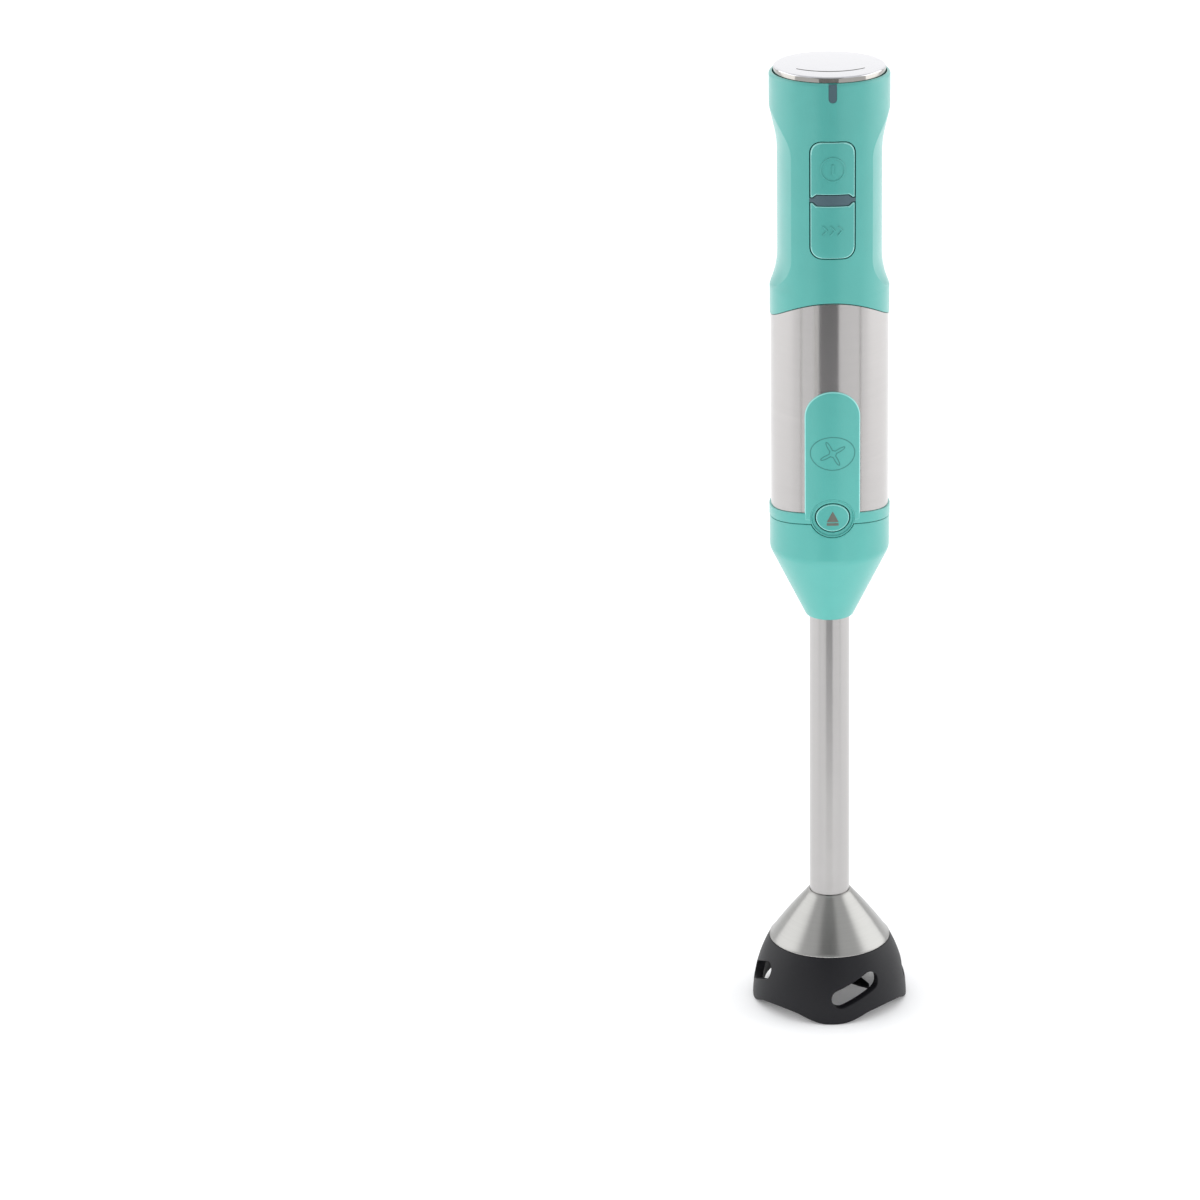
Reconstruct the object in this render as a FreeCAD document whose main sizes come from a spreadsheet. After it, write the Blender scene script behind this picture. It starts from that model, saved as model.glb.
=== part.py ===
import FreeCAD, Part
import math
import os
import PartDesign
import Sketcher

# Hand blender: motor unit with speed dial and push buttons, and a pull-off blending leg.
# Millimetres. +Z is up along the blender's axis, the floor under the blade guard is z = 0,
# and the buttons face -Y.

SIZES = {
    # levels along the axis
    "arch_height": 4.7, "bell_foot": 27.3, "bell_head": 48.2, "tube_foot": 46.0, "tube_head": 186.0,
    "collar_foot": 171.3, "shoulder_level": 200.6, "collar_head": 217.65,
    "ring_foot": 217.95, "ring_head": 222.4, "tongue_head": 273.5, "sleeve_foot": 222.5,
    "sleeve_head": 309.95, "rim_level": 398.5, "dial_head": 401.1, "deck_level": 394.0,
    "release_level": 220.4, "divider_level": 351.8, "panel_foot": 327.9, "panel_head": 375.6,
    "gland_level": 366.0, "board_foot": 322.0, "can_foot": 240.0, "can_head": 286.0,
    # grip and motor unit
    "grip_radius": 24.0, "grip_wall": 2.6, "waist_half": 20.9, "waist_axis": 14.5,
    "waist_head": 384.7, "waist_full_head": 371.0, "waist_full_foot": 326.0, "waist_foot": 311.5,
    "waist_curve": 35.5, "skirt_radius": 23.0, "sleeve_radius": 23.8, "sleeve_wall": 0.6,
    "sleeve_arch": 33.6, "ring_radius": 24.5, "tongue_half": 11.1, "tongue_wall": 0.5,
    "dial_radius": 22.2, "dial_well": 22.6, "dial_crown": 0.3, "dial_edge": 1.0, "dial_wall": 1.4,
    "index_half": 1.625, "index_tall": 7.6, "panel_half": 9.1, "panel_corner": 4.8,
    "button_gap": 0.3, "button_stand": 0.25, "button_back": 20.2,
    "stem_radius": 1.8, "stem_back": 13.8, "power_level": 364.3, "turbo_level": 339.7,
    "divider_edge": 0.8, "divider_middle": 2.08, "divider_flat": 6.25, "divider_shoulder": 7.65,
    "insert_sink": 0.05, "rim_rounding": 1.1, "deck_thick": 2.4, "hub_hole": 6.5,
    "bezel_half_wide": 9.0, "bezel_half_tall": 8.05, "opening_half_wide": 7.15, "opening_half_tall": 6.2,
    "release_half_wide": 6.72, "release_half_tall": 5.75, "notch_gap": 0.3,
    "gland_radius": 6.0, "gland_flange": 7.6, "gland_bore": 3.6,
    # motor
    "shaft_radius": 2.5, "can_radius": 17.6, "core_radius": 13.5, "fan_radius": 14.2,
    # leg
    "collar_radius": 24.3, "collar_wall": 2.4, "collar_neck": 10.2, "tube_radius": 8.25,
    "tube_wall": 0.8, "bell_wall": 1.0, "bell_neck": 8.8, "bell_curve": 200.0, "guard_radius": 32.3,
    "guard_head_radius": 25.2, "guard_wall": 3.6, "guard_curve": 56.0, "window_level": 13.5,
    "window_half_long": 11.0, "window_half_wide": 3.75, "window_tilt": 22.0,
    "front_window_turn": 18.5, "side_window_turn": 100.0,
    "spigot_radius": 14.5, "running_gap": 0.05, "fit_gap": 0.1, "press_gap": 0.02,
    "blade_radius": 24.0, "blade_level": 13.2, "blade_turn": 35.0,
    # inner parts
    "post_across": 6.5, "post_low": 331.6, "post_high": 372.4, "carrier_foot": 329.0,
    "carrier_head": 375.0, "slider_level": 235.0, "arm_half": 3.0, "arm_way_half": 3.4,
    "plate_level": 231.1, "housing_inside": 21.0, "bush_radius": 4.0, "spindle_hole": 4.1,
    "coupling_bore": 5.1, "commutator_level": 287.2, "fan_level": 303.0, "winding_wide": 12.6,
}
FRONT = FreeCAD.Rotation(FreeCAD.Vector(1, 0, 0), 90)

doc = FreeCAD.newDocument("hand_blender")
sheet = doc.addObject("Spreadsheet::Sheet", "Sizes")
for row, (alias, number) in enumerate(SIZES.items(), start=1):
    sheet.set(f"A{row}", alias.replace("_", " "))
    sheet.set(f"B{row}", str(number))
    sheet.setAlias(f"B{row}", alias)
doc.recompute()


class Size:
    """A number kept together with the sheet formula that gives it."""

    def __init__(self, number, formula):
        self.number = number
        self.formula = formula

    def joined(self, sign, other, number):
        return Size(number, f"({self.formula} {sign} {formula_of(other)})")

    def __add__(self, other):
        return self.joined("+", other, self.number + number_of(other))

    def __sub__(self, other):
        return self.joined("-", other, self.number - number_of(other))

    def __mul__(self, other):
        return self.joined("*", other, self.number * number_of(other))

    def __neg__(self):
        return Size(-self.number, f"(-{self.formula})")


def number_of(value):
    return value.number if isinstance(value, Size) else float(value)


def formula_of(value):
    return value.formula if isinstance(value, Size) else repr(float(value))


def size(alias):
    return Size(SIZES[alias], f"Sizes.{alias}")


def bind(item, path, value):
    """Set a property, and tie it to the sheet when its value comes from there."""
    if "." not in path:
        setattr(item, path, number_of(value))
    if "." in path or isinstance(value, Size):
        item.setExpression(path, formula_of(value))


# ---- sketches and features ------------------------------------------------------------------

nodes = []


def node(item, label):
    """Name a finished piece and list it for export."""
    item.Label = label
    nodes.append(item)
    return item


def new_body(label):
    return doc.addObject("PartDesign::Body", label)


def origin_feature(body, role):
    return next(feature for feature in body.Origin.OriginFeatures if feature.Role == role)


def sketch_on(body, role, name, offset=0.0):
    sketch = body.newObject("Sketcher::SketchObject", name)
    sketch.AttachmentSupport = [(origin_feature(body, role), "")]
    sketch.MapMode = "FlatFace"
    if number_of(offset):
        bind(sketch, ".AttachmentOffset.Base.z", offset)
    return sketch


def arc_between(start, end, bend):
    """Short arc from start to end; it bulges to the right of the way when bend is positive."""
    radius = abs(bend)
    chord = end - start
    rise = math.sqrt(max(radius ** 2 - (chord.Length / 2) ** 2, 0.0))
    left = FreeCAD.Vector(-chord.y, chord.x, 0).normalize()
    centre = (start + end) * 0.5 + left * math.copysign(rise, bend)
    first, last = (start, end) if bend > 0 else (end, start)
    angles = [math.atan2(point.y - centre.y, point.x - centre.x) for point in (first, last)]
    circle = Part.Circle(centre, FreeCAD.Vector(0, 0, 1), radius)
    return Part.ArcOfCircle(circle, angles[0], angles[1])


def draw(sketch, corners):
    """Closed outline. A corner is (x, y), or (x, y, bend) when an arc of radius bend leaves it."""
    count = len(corners)
    places = [FreeCAD.Vector(number_of(c[0]), number_of(c[1]), 0) for c in corners]
    ends = []
    for i, corner in enumerate(corners):
        start, end = places[i], places[(i + 1) % count]
        if len(corner) == 3:
            edge = sketch.addGeometry(arc_between(start, end, number_of(corner[2])))
            ends.append((edge, 1, 2) if number_of(corner[2]) > 0 else (edge, 2, 1))
        else:
            edge = sketch.addGeometry(Part.LineSegment(start, end))
            ends.append((edge, 1, 2))
    for i, corner in enumerate(corners):
        edge, start, _ = ends[i]
        before, _, end = ends[i - 1]
        sketch.addConstraint(Sketcher.Constraint("Coincident", before, end, edge, start))
        for kind, axis, value in (("DistanceX", -2, corner[0]), ("DistanceY", -1, corner[1])):
            if not isinstance(value, Size) and value == 0:
                sketch.addConstraint(Sketcher.Constraint("PointOnObject", edge, start, axis))
                continue
            index = sketch.addConstraint(
                Sketcher.Constraint(kind, -1, 1, edge, start, number_of(value)))
            if isinstance(value, Size):
                sketch.setExpression(f"Constraints[{index}]", value.formula)
        if len(corner) == 3:
            bend = corner[2]
            index = sketch.addConstraint(Sketcher.Constraint("Radius", edge, abs(number_of(bend))))
            if isinstance(bend, Size):
                positive = bend if bend.number > 0 else -bend
                sketch.setExpression(f"Constraints[{index}]", positive.formula)
    return sketch


def draw_circle(sketch, x, y, radius):
    circle = Part.Circle(FreeCAD.Vector(number_of(x), number_of(y), 0), FreeCAD.Vector(0, 0, 1),
                         number_of(radius))
    edge = sketch.addGeometry(circle)
    for kind, axis, value in (("DistanceX", -2, x), ("DistanceY", -1, y)):
        if not isinstance(value, Size) and value == 0:
            sketch.addConstraint(Sketcher.Constraint("PointOnObject", edge, 3, axis))
            continue
        index = sketch.addConstraint(Sketcher.Constraint(kind, -1, 1, edge, 3, number_of(value)))
        if isinstance(value, Size):
            sketch.setExpression(f"Constraints[{index}]", value.formula)
    index = sketch.addConstraint(Sketcher.Constraint("Radius", edge, number_of(radius)))
    if isinstance(radius, Size):
        sketch.setExpression(f"Constraints[{index}]", radius.formula)


def rectangle(left, right, low, high):
    return [(left, low), (right, low), (right, high), (left, high)]


def rounded_rectangle(half_wide, low, high, corner):
    """Upright rectangle about x = 0 with quarter-round corners."""
    inner = half_wide - corner
    return [(-inner, low), (inner, low, corner), (half_wide, low + corner),
            (half_wide, high - corner, corner), (inner, high), (-inner, high, corner),
            (-half_wide, high - corner), (-half_wide, low + corner, corner)]


def turned(body, corners, name, angle=360):
    """Solid of revolution about Z from an outline of (radius, level) corners."""
    sketch = draw(sketch_on(body, "XZ_Plane", f"{name}_profile"), corners)
    feature = body.newObject("PartDesign::Revolution", name)
    feature.Profile = sketch
    feature.ReferenceAxis = (sketch, ["V_Axis"])
    feature.Angle = angle
    feature.Midplane = angle < 360
    return feature


def turned_cut(body, corners, name):
    sketch = draw(sketch_on(body, "XZ_Plane", f"{name}_profile"), corners)
    feature = body.newObject("PartDesign::Groove", name)
    feature.Profile = sketch
    feature.ReferenceAxis = (sketch, ["V_Axis"])
    feature.Angle = 360
    return feature


def padded(body, corners, name, role, start, length):
    """Pad of an outline from the plane at start along the plane's normal."""
    sketch = draw(sketch_on(body, role, f"{name}_outline", start), corners)
    feature = body.newObject("PartDesign::Pad", name)
    feature.Profile = sketch
    bind(feature, "Length", length)
    return feature


def pocketed(body, corners, name, role, start, length):
    """Pocket of an outline from the plane at start, against the plane's normal."""
    sketch = draw(sketch_on(body, role, f"{name}_outline", start), corners)
    feature = body.newObject("PartDesign::Pocket", name)
    feature.Profile = sketch
    bind(feature, "Length", length)
    return feature


def repeated(body, feature, name, count):
    pattern = body.newObject("PartDesign::PolarPattern", name)
    pattern.Originals = [feature]
    pattern.Axis = (origin_feature(body, "Z_Axis"), [""])
    pattern.Angle = 360
    pattern.Occurrences = count
    body.Tip = pattern
    return pattern


def about_z(degrees):
    return FreeCAD.Placement(FreeCAD.Vector(), FreeCAD.Rotation(FreeCAD.Vector(0, 0, 1), degrees))


def on_circle(radius, degrees, level):
    turn = math.radians(degrees)
    return (radius * math.cos(turn), radius * math.sin(turn), level)


def turned_node(label, corners):
    body = new_body(label)
    turned(body, corners, f"{label}_turning")
    return node(body, label)


def cut(label, base, tool):
    item = doc.addObject("Part::Cut", label)
    item.Base, item.Tool = base, tool
    return item


def common(label, items):
    item = doc.addObject("Part::MultiCommon", label)
    item.Shapes = items
    return item


def cylinder(label, radius, height, place, along="Z"):
    """Part cylinder standing on place and pointing along +Z or +Y, or -Y with along='front'."""
    item = doc.addObject("Part::Cylinder", label)
    bind(item, "Radius", radius)
    bind(item, "Height", height)
    turn = {"Z": FreeCAD.Rotation(), "front": FRONT, "Y": FRONT.inverted()}[along]
    item.Placement = FreeCAD.Placement(FreeCAD.Vector(*[number_of(v) for v in place]), turn)
    for axis, value in zip("xyz", place):
        if isinstance(value, Size):
            bind(item, f".Placement.Base.{axis}", value)
    return item


def block(label, low, extent):
    """Part box from its lowest corner and its three lengths."""
    item = doc.addObject("Part::Box", label)
    for name, value in zip(("Length", "Width", "Height"), extent):
        bind(item, name, value)
    item.Placement.Base = FreeCAD.Vector(*[number_of(v) for v in low])
    for axis, value in zip("xyz", low):
        if isinstance(value, Size):
            bind(item, f".Placement.Base.{axis}", value)
    return item


def fused(label, items):
    item = doc.addObject("Part::MultiFuse", label)
    item.Shapes = items
    return item


def oval_edge(label, half_wide, half_tall, y):
    """Upright ellipse about the release button's centre."""
    edge = doc.addObject("Part::Ellipse", label)
    bind(edge, "MajorRadius", half_wide)
    bind(edge, "MinorRadius", half_tall)
    edge.Placement = FreeCAD.Placement(FreeCAD.Vector(0, y, SIZES["release_level"]), FRONT)
    bind(edge, ".Placement.Base.z", size("release_level"))
    return edge


def oval(label, half_wide, half_tall, y, depth):
    """Upright oval bar about the release button's centre, from y forwards over depth."""
    bar = doc.addObject("Part::Extrusion", label)
    bar.Base = oval_edge(f"{label}_edge", half_wide, half_tall, y)
    bar.DirMode = "Custom"
    bar.Dir = FreeCAD.Vector(0, -1, 0)
    bind(bar, "LengthFwd", depth)
    bar.Solid = True
    return bar


def bezel_notch(label, y):
    """Way for the release button's bezel, from y forwards."""
    gap = size("notch_gap")
    return oval(label, size("bezel_half_wide") + gap, size("bezel_half_tall") + gap, y, 10.0)


# ---- motor unit shell -----------------------------------------------------------------------

def grip_form(label, inset, foot, head, rounding):
    """Round grip with a flatter, waisted face each side; inset shrinks it for the hollow."""
    body = new_body(label)
    radius = size("grip_radius") - inset
    turned(body, [(0, foot), (radius, foot), (radius, head - rounding, rounding),
                  (radius - rounding, head), (0, head)], f"{label}_round")
    # the side face is turned about an axis beyond the far side, so it is flatter than the grip
    sketch = sketch_on(body, "XZ_Plane", f"{label}_waist_profile")
    half = size("waist_half") - inset
    beyond = size("grip_radius") + 8.0
    outer = size("grip_radius") + 0.5 - inset
    rise = (size("waist_head") - size("waist_full_head")) * 1.16
    draw(sketch, [(half, size("waist_full_foot")), (half, size("waist_full_head")),
                  (outer, size("waist_full_head") + rise), (beyond, size("waist_full_head") + rise),
                  (beyond, size("waist_foot") - 1.2), (outer, size("waist_foot") - 1.2,
                                                      -size("waist_curve"))])
    axis_line = Part.LineSegment(FreeCAD.Vector(-SIZES["waist_axis"], 300, 0),
                                 FreeCAD.Vector(-SIZES["waist_axis"], 400, 0))
    line = sketch.addGeometry(axis_line, True)
    sketch.addConstraint(Sketcher.Constraint("Vertical", line))
    place = sketch.addConstraint(
        Sketcher.Constraint("DistanceX", line, 1, -1, 1, SIZES["waist_axis"]))
    sketch.setExpression(f"Constraints[{place}]", "Sizes.waist_axis")
    groove = body.newObject("PartDesign::Groove", f"{label}_waist")
    groove.Profile = sketch
    groove.ReferenceAxis = (sketch, ["Axis0"])
    groove.Angle = 360
    mirror = body.newObject("PartDesign::Mirrored", f"{label}_waist_both")
    mirror.Originals = [groove]
    mirror.MirrorPlane = (origin_feature(body, "YZ_Plane"), [""])
    body.Tip = mirror
    return body


def under_arch(label, drop):
    """Everything below the sleeve's arched upper edge, seen from the front."""
    body = new_body(label)
    half, below, deep = 26.0, 210.0, 40.0
    arch = size("sleeve_arch")
    fall = Size(arch.number - math.sqrt(arch.number ** 2 - half ** 2),
                f"({arch.formula} - sqrt({arch.formula} ^ 2 - {half ** 2}))")
    side = size("sleeve_head") - drop - fall
    padded(body, [(-half, below), (half, below), (half, side, arch), (-half, side)],
           f"{label}_block", "XZ_Plane", -deep, 2 * deep)
    return body


def tube_form(label, inner, outer, foot, head):
    body = new_body(label)
    turned(body, rectangle(inner, outer, foot, head), f"{label}_tube")
    return body


def make_grip_housing():
    below, beyond = 210.0, 27.0
    deck_foot = size("deck_level") - size("deck_thick")
    rounding = SIZES["rim_rounding"]
    outside = grip_form("grip_outside", 0.0, size("ring_head") + 0.2, size("rim_level"), rounding)
    hollow = grip_form("grip_hollow", size("grip_wall"), size("ring_foot"), deck_foot, 2.0)
    shell = cut("grip_shell", outside, hollow)
    well = turned_well()
    shell = cut("grip_with_well", shell, well)
    seat = common("sleeve_seat", [
        tube_form("seat_tube", size("skirt_radius"), beyond, below, size("sleeve_head") + 2.0),
        under_arch("seat_arch", 0.0)])
    shell = cut("grip_with_seat", shell, seat)
    front = new_body("panel_cutter")
    padded(front, rounded_rectangle(size("panel_half"), size("panel_foot"), size("panel_head"),
                                    size("panel_corner")), "panel_block", "XZ_Plane", 15.0, 12.0)
    slot = new_body("index_cutter")
    padded(slot, index_outline(0.0, size("rim_level") + 1.0), "index_block", "XZ_Plane", 22.9, 4.0)
    gland_hole = cylinder("gland_hole", size("gland_radius") + size("fit_gap"), 12.0,
                          (0, 16.0, size("gland_level")), "Y")
    notch = bezel_notch("release_notch", -17.0)
    cutter = fused("housing_openings", [front, slot, gland_hole, notch])
    shell = cut("grip_with_openings", shell, cutter)
    stop = new_body("dial_stop")
    turned(stop, rectangle(7.0, 10.0, size("deck_level") - 6.0, deck_foot + 0.1), "stop_block",
           angle=70)
    stop.Placement = about_z(90)
    node(fused("grip_with_stop", [shell, stop]), "grip_housing")


def turned_well():
    body = new_body("dial_well_cutter")
    deck = size("deck_level")
    turned(body, rectangle(0, size("dial_well"), deck, size("rim_level") + 1.0), "well")
    turned(body, rectangle(0, size("hub_hole"), deck - 4.0, deck + 1.0), "hub_hole")
    return body


def index_outline(gap, head):
    half = size("index_half") - gap
    foot = size("rim_level") - size("index_tall") + gap
    return [(-half, foot + half, half), (0, foot, half), (half, foot + half), (half, head), (-half, head)]


def front_piece(label, corners, y, radius):
    """Piece of the grip's round front: an outline from y forwards, trimmed to a radius."""
    body = new_body(f"{label}_body")
    padded(body, corners, f"{label}_block", "XZ_Plane", y, 12.0)
    beyond, below, above = 45.0, 200.0, 410.0
    turned_cut(body, rectangle(radius, beyond, below, above), f"{label}_front")
    return body


def make_front_inserts():
    sink = size("insert_sink")
    front = size("grip_radius") - sink
    index = index_outline(sink, size("rim_level") - 1.2)
    node(front_piece("dial_index", index, 22.95, front), "dial_index")
    level = size("divider_level")
    half = size("panel_half") - sink
    flat, shoulder = size("divider_flat"), size("divider_shoulder")
    edge, middle = size("divider_edge"), size("divider_middle")
    lower = [(-half, level - edge), (-shoulder, level - edge), (-flat, level - middle),
             (flat, level - middle), (shoulder, level - edge), (half, level - edge)]
    upper = [(half, level + edge), (shoulder, level + edge), (flat, level + middle),
             (-flat, level + middle), (-shoulder, level + edge), (-half, level + edge)]
    node(front_piece("button_divider", lower + upper, 17.0, front), "button_divider")


def button_outline(upper):
    """Button face: panel width less the gap, round at the far end, notched at the divider."""
    way = 1 if upper else -1
    gap = size("button_gap")
    half = size("panel_half") - gap
    corner = size("panel_corner") - gap
    level = size("divider_level")
    edge = level + (gap + size("divider_edge")) * way
    notch = level + (gap + size("divider_middle")) * way
    flat, shoulder = size("divider_flat") + 0.15, size("divider_shoulder") + gap
    far = size("panel_head") - gap if upper else size("panel_foot") + gap
    bend = corner * way
    corners = [(-half, edge), (-shoulder, edge), (-flat, notch), (flat, notch), (shoulder, edge),
               (half, edge),
               (half, far - corner * way, bend), (half - corner, far), (-half + corner, far, bend),
               (-half, far - corner * way)]
    return corners


def make_button(label, upper, centre):
    back, front = size("button_back"), size("grip_radius") + size("button_stand")
    body = front_piece(label, button_outline(upper), back, front)
    # stem towards the switch
    sketch = sketch_on(body, "XZ_Plane", f"{label}_stem_outline", size("stem_back"))
    draw_circle(sketch, 0, centre, size("stem_radius"))
    stem = body.newObject("PartDesign::Pad", f"{label}_stem")
    stem.Profile = sketch
    bind(stem, "Length", back - size("stem_back") + 0.5)
    node(body, label)


def make_button_carrier():
    """Plate and board posts behind the buttons."""
    low, high = size("carrier_foot"), size("carrier_head")
    thick, screw_hole = 1.6, 1.15
    plate = block("carrier_plate", (-8.8, -16.9, low), (17.6, thick, high - low))
    solid = fused("carrier_solid", [plate] + at_posts("carrier_post", 2.2, 8.25, -15.31))
    holes = at_posts("carrier_screw_hole", screw_hole, 9.0, -14.3)
    holes += [cylinder(f"carrier_stem_hole_{key}", 2.15, 3.0, (0, -17.5, size(f"{key}_level")), "Y")
              for key in ("power", "turbo")]
    node(cut("carrier_cut", solid, fused("carrier_holes", holes)), "button_carrier")
    board = block("board_block", (-16.0, -7.0, size("board_foot")), (32.0, thick, 56.0))
    holes = fused("board_holes", at_posts("board_hole", screw_hole, 3.0, -8.0))
    node(cut("board_cut", board, holes), "control_board")
    screws = at_posts("screw_shank", 1.05, 7.4, -12.8) + at_posts("screw_head", 2.0, 1.2, -5.4)
    node(fused("board_screw_group", screws), "board_screws")


def at_posts(label, radius, length, y):
    """The same bar at each of the four board posts, from y backwards."""
    across = size("post_across")
    return [cylinder(f"{label}_{side}_{row}", radius, length, (x, y, size(f"post_{row}")), "Y")
            for side, x in (("left", -across), ("right", across)) for row in ("low", "high")]


def make_electrics():
    for key in ("power", "turbo"):
        foot = size(f"{key}_level") - 4.5
        node(block(f"{key}_switch_case", (-4.0, -12.0, foot), (8.0, 4.95, 9.0)), f"{key}_switch")
    node(cylinder("capacitor_can", 5.3, 16.5, (-8.0, 0.2, 334.2)), "filter_capacitor")
    node(block("triac_case", (3.5, -5.35, 334.0), (10.0, 4.4, 15.0)), "power_triac")
    terminal = block("terminal_case", (-7.0, -5.35, 354.0), (14.0, 7.0, 8.0))
    holes = [cylinder(f"terminal_hole_{x}", 1.4, 16.0, (x, -4.0, 350.0)) for x in (-3.4, 3.4)]
    node(cut("terminal_cut", terminal, fused("terminal_holes", holes)), "terminal_block")
    lead_foot = size("can_head") + 15.3
    leads = [cylinder(f"lead_{x}", 0.8, size("board_foot") - lead_foot, (x, -6.2, lead_foot))
             for x in (-15.6, 15.6)]
    node(fused("lead_pair", leads), "motor_leads")
    level = size("gland_level")
    sleeve = cylinder("gland_sleeve", size("gland_radius"), 12.5, (0, 17.5, level), "Y")
    flange = cylinder("gland_flange", size("gland_flange"), 2.2, (0, 17.3, level), "Y")
    bore = cylinder("gland_bore_cut", size("gland_bore"), 20.0, (0, 15.0, level), "Y")
    node(cut("gland_cut", fused("gland_solid", [sleeve, flange]), bore), "cord_gland")


# ---- dial -----------------------------------------------------------------------------------

def make_dial():
    crown = size("dial_head")
    radius = size("dial_radius")
    inner = radius - size("dial_wall")
    edge = size("dial_edge")
    brow = crown - size("dial_crown")
    deck = size("deck_level")
    foot = deck + 0.7
    turned_node("dial_cap", [
        (0, crown - 1.6), (inner, crown - 1.8), (inner, foot), (radius, foot),
        (radius, brow - edge, edge), (radius - edge, brow), (0, crown)])
    hub = new_body("dial_hub_body")
    bore, neck, flange = 3.1, size("hub_hole") - 0.3, 12.0
    turned(hub, [(bore, deck - 7.0), (neck, deck - 7.0), (neck, deck + 2.0), (flange, deck + 2.0),
                 (flange, deck + 5.1), (bore, deck + 5.1)], "hub_turning")
    # tab below the deck that meets the housing's stop at each end of the turn
    sketch = draw(sketch_on(hub, "XY_Plane", "stop_tab_outline", deck - 6.6),
                  [(-1.8, -9.0), (1.8, -9.0), (1.8, -5.0), (-1.8, -5.0)])
    tab = hub.newObject("PartDesign::Pad", "stop_tab")
    tab.Profile = sketch
    tab.Length = 2.8
    node(hub, "dial_hub")
    node(cylinder("pot_spindle", 3.0, 16.5, (0, 0, size("deck_level") - 12.5)), "dial_shaft")
    spindle, case, case_foot, case_head = 3.05, 8.0, deck - 15.0, deck - 8.4
    turned_node("potentiometer", [
        (spindle, case_foot), (case, case_foot), (case, case_head), (5.0, case_head),
        (5.0, case_head + 1.0), (spindle, case_head + 1.0)])
    turned_node("dial_seal", [(16.4, deck + 0.02), (18.2, deck + 0.02), (17.9, deck + 1.6),
                              (16.7, deck + 1.6)])


# ---- sleeve, ring and latch -----------------------------------------------------------------

def make_sleeve():
    band = tube_form("sleeve_band", size("sleeve_radius") - size("sleeve_wall"), size("sleeve_radius"),
                     size("sleeve_foot"), 312.0)
    arched = common("sleeve_arched", [band, under_arch("sleeve_arch_form", size("fit_gap"))])
    node(cut("sleeve_cut", arched, bezel_notch("sleeve_notch", -17.0)), "steel_sleeve")


def make_lower_ring():
    foot = size("ring_foot")
    head = size("ring_head")
    ring = new_body("ring_form")
    radius, upstand, inner = size("ring_radius"), 21.2, 18.2
    upstand_head = size("plate_level") - 0.1
    turned(ring, [(inner, foot), (radius, foot), (radius, head), (upstand, head),
                  (upstand, upstand_head), (inner, upstand_head)], "ring_turning")
    half = size("tongue_half")
    base = size("tongue_head") - half
    outline = new_body("tongue_outline_form")
    padded(outline, [(-half, foot), (half, foot), (half, base, half), (0, size("tongue_head"), half),
                     (-half, base)], "tongue_block", "XZ_Plane", 15.0, 12.0)
    shell = tube_form("tongue_shell", radius - size("tongue_wall"), radius, foot,
                      size("tongue_head") + 1.0)
    tongue = common("tongue_form", [shell, outline])
    bezel = oval("bezel_bar", size("bezel_half_wide"), size("bezel_half_tall"), -19.3, 8.0)
    outer = cylinder("bezel_limit", radius + 0.2, 30.0, (0, 0, 205.0))
    bezel = common("bezel_form", [bezel, outer])
    body = fused("ring_body", [ring, tongue, bezel])
    opening = oval("release_opening", size("opening_half_wide"), size("opening_half_tall"), -15.0, 12.0)
    lip = 0.4
    dish = doc.addObject("Part::Loft", "bezel_dish")
    dish.Sections = [
        oval_edge("dish_front", size("bezel_half_wide") - lip, size("bezel_half_tall") - lip, -25.2),
        oval_edge("dish_back", size("opening_half_wide"), size("opening_half_tall"), -23.2)]
    dish.Solid = True
    dish.Ruled = True
    way = size("arm_way_half")
    arm_way = block("ring_arm_way", (-way, -21.0, 222.0), (way * 2, 6.0, 10.0))
    node(cut("ring_cut", body, fused("ring_openings", [opening, dish, arm_way])), "lower_ring")


def make_release():
    cap = oval("release_bar", size("release_half_wide"), size("release_half_tall"), -20.6, 6.0)
    limit = cylinder("release_limit", size("grip_radius"), 30.0, (0, 0, 205.0))
    cap = common("release_form", [cap, limit])
    node(cap, "release_button")
    # slider frame above the socket, with its arm down to the button and its tooth over the spigot
    frame = new_body("slider_frame")
    foot, half = size("slider_level"), size("arm_half")
    head = foot + 1.6
    turned(frame, rectangle(10.2, 17.2, foot, head), "slider_ring")
    link = block("slider_link", (-half, -20.4, foot - 1.6), (half * 2, 6.0, 3.2))
    arm = block("slider_arm", (-half, -20.5, foot - 11.8), (half * 2, 1.2, 10.8))
    node(fused("slider_solid", [frame, link, arm]), "latch_slider")


def make_socket():
    cup = new_body("socket_form")
    foot, plate, edge = size("release_level") - 2.1, size("plate_level"), size("housing_inside")
    inner, outer, hole = size("spigot_radius") + 0.4, size("spigot_radius") + 1.9, 7.5
    plate_head = plate + 2.0
    turned(cup, [(inner, foot), (outer, foot), (outer, plate), (edge, plate), (edge, plate_head),
                 (hole, plate_head), (hole, plate + 0.1), (inner, plate + 0.1)], "socket_turning")
    way = size("arm_way_half")
    arm_way = block("socket_arm_way", (-way, -22.0, plate - 1.1), (way * 2, 5.4, 4.0))
    node(cut("socket_cut", cup, arm_way), "socket_cup")
    screw_level = number_of(plate_head) + SIZES["press_gap"]
    screws = [cylinder(f"socket_screw_{turn}", 1.2, 1.1, on_circle(19.6, turn, screw_level))
              for turn in (45, 135, 225, 315)]
    node(fused("socket_screw_group", screws), "socket_screws")


# ---- motor ----------------------------------------------------------------------------------

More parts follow.
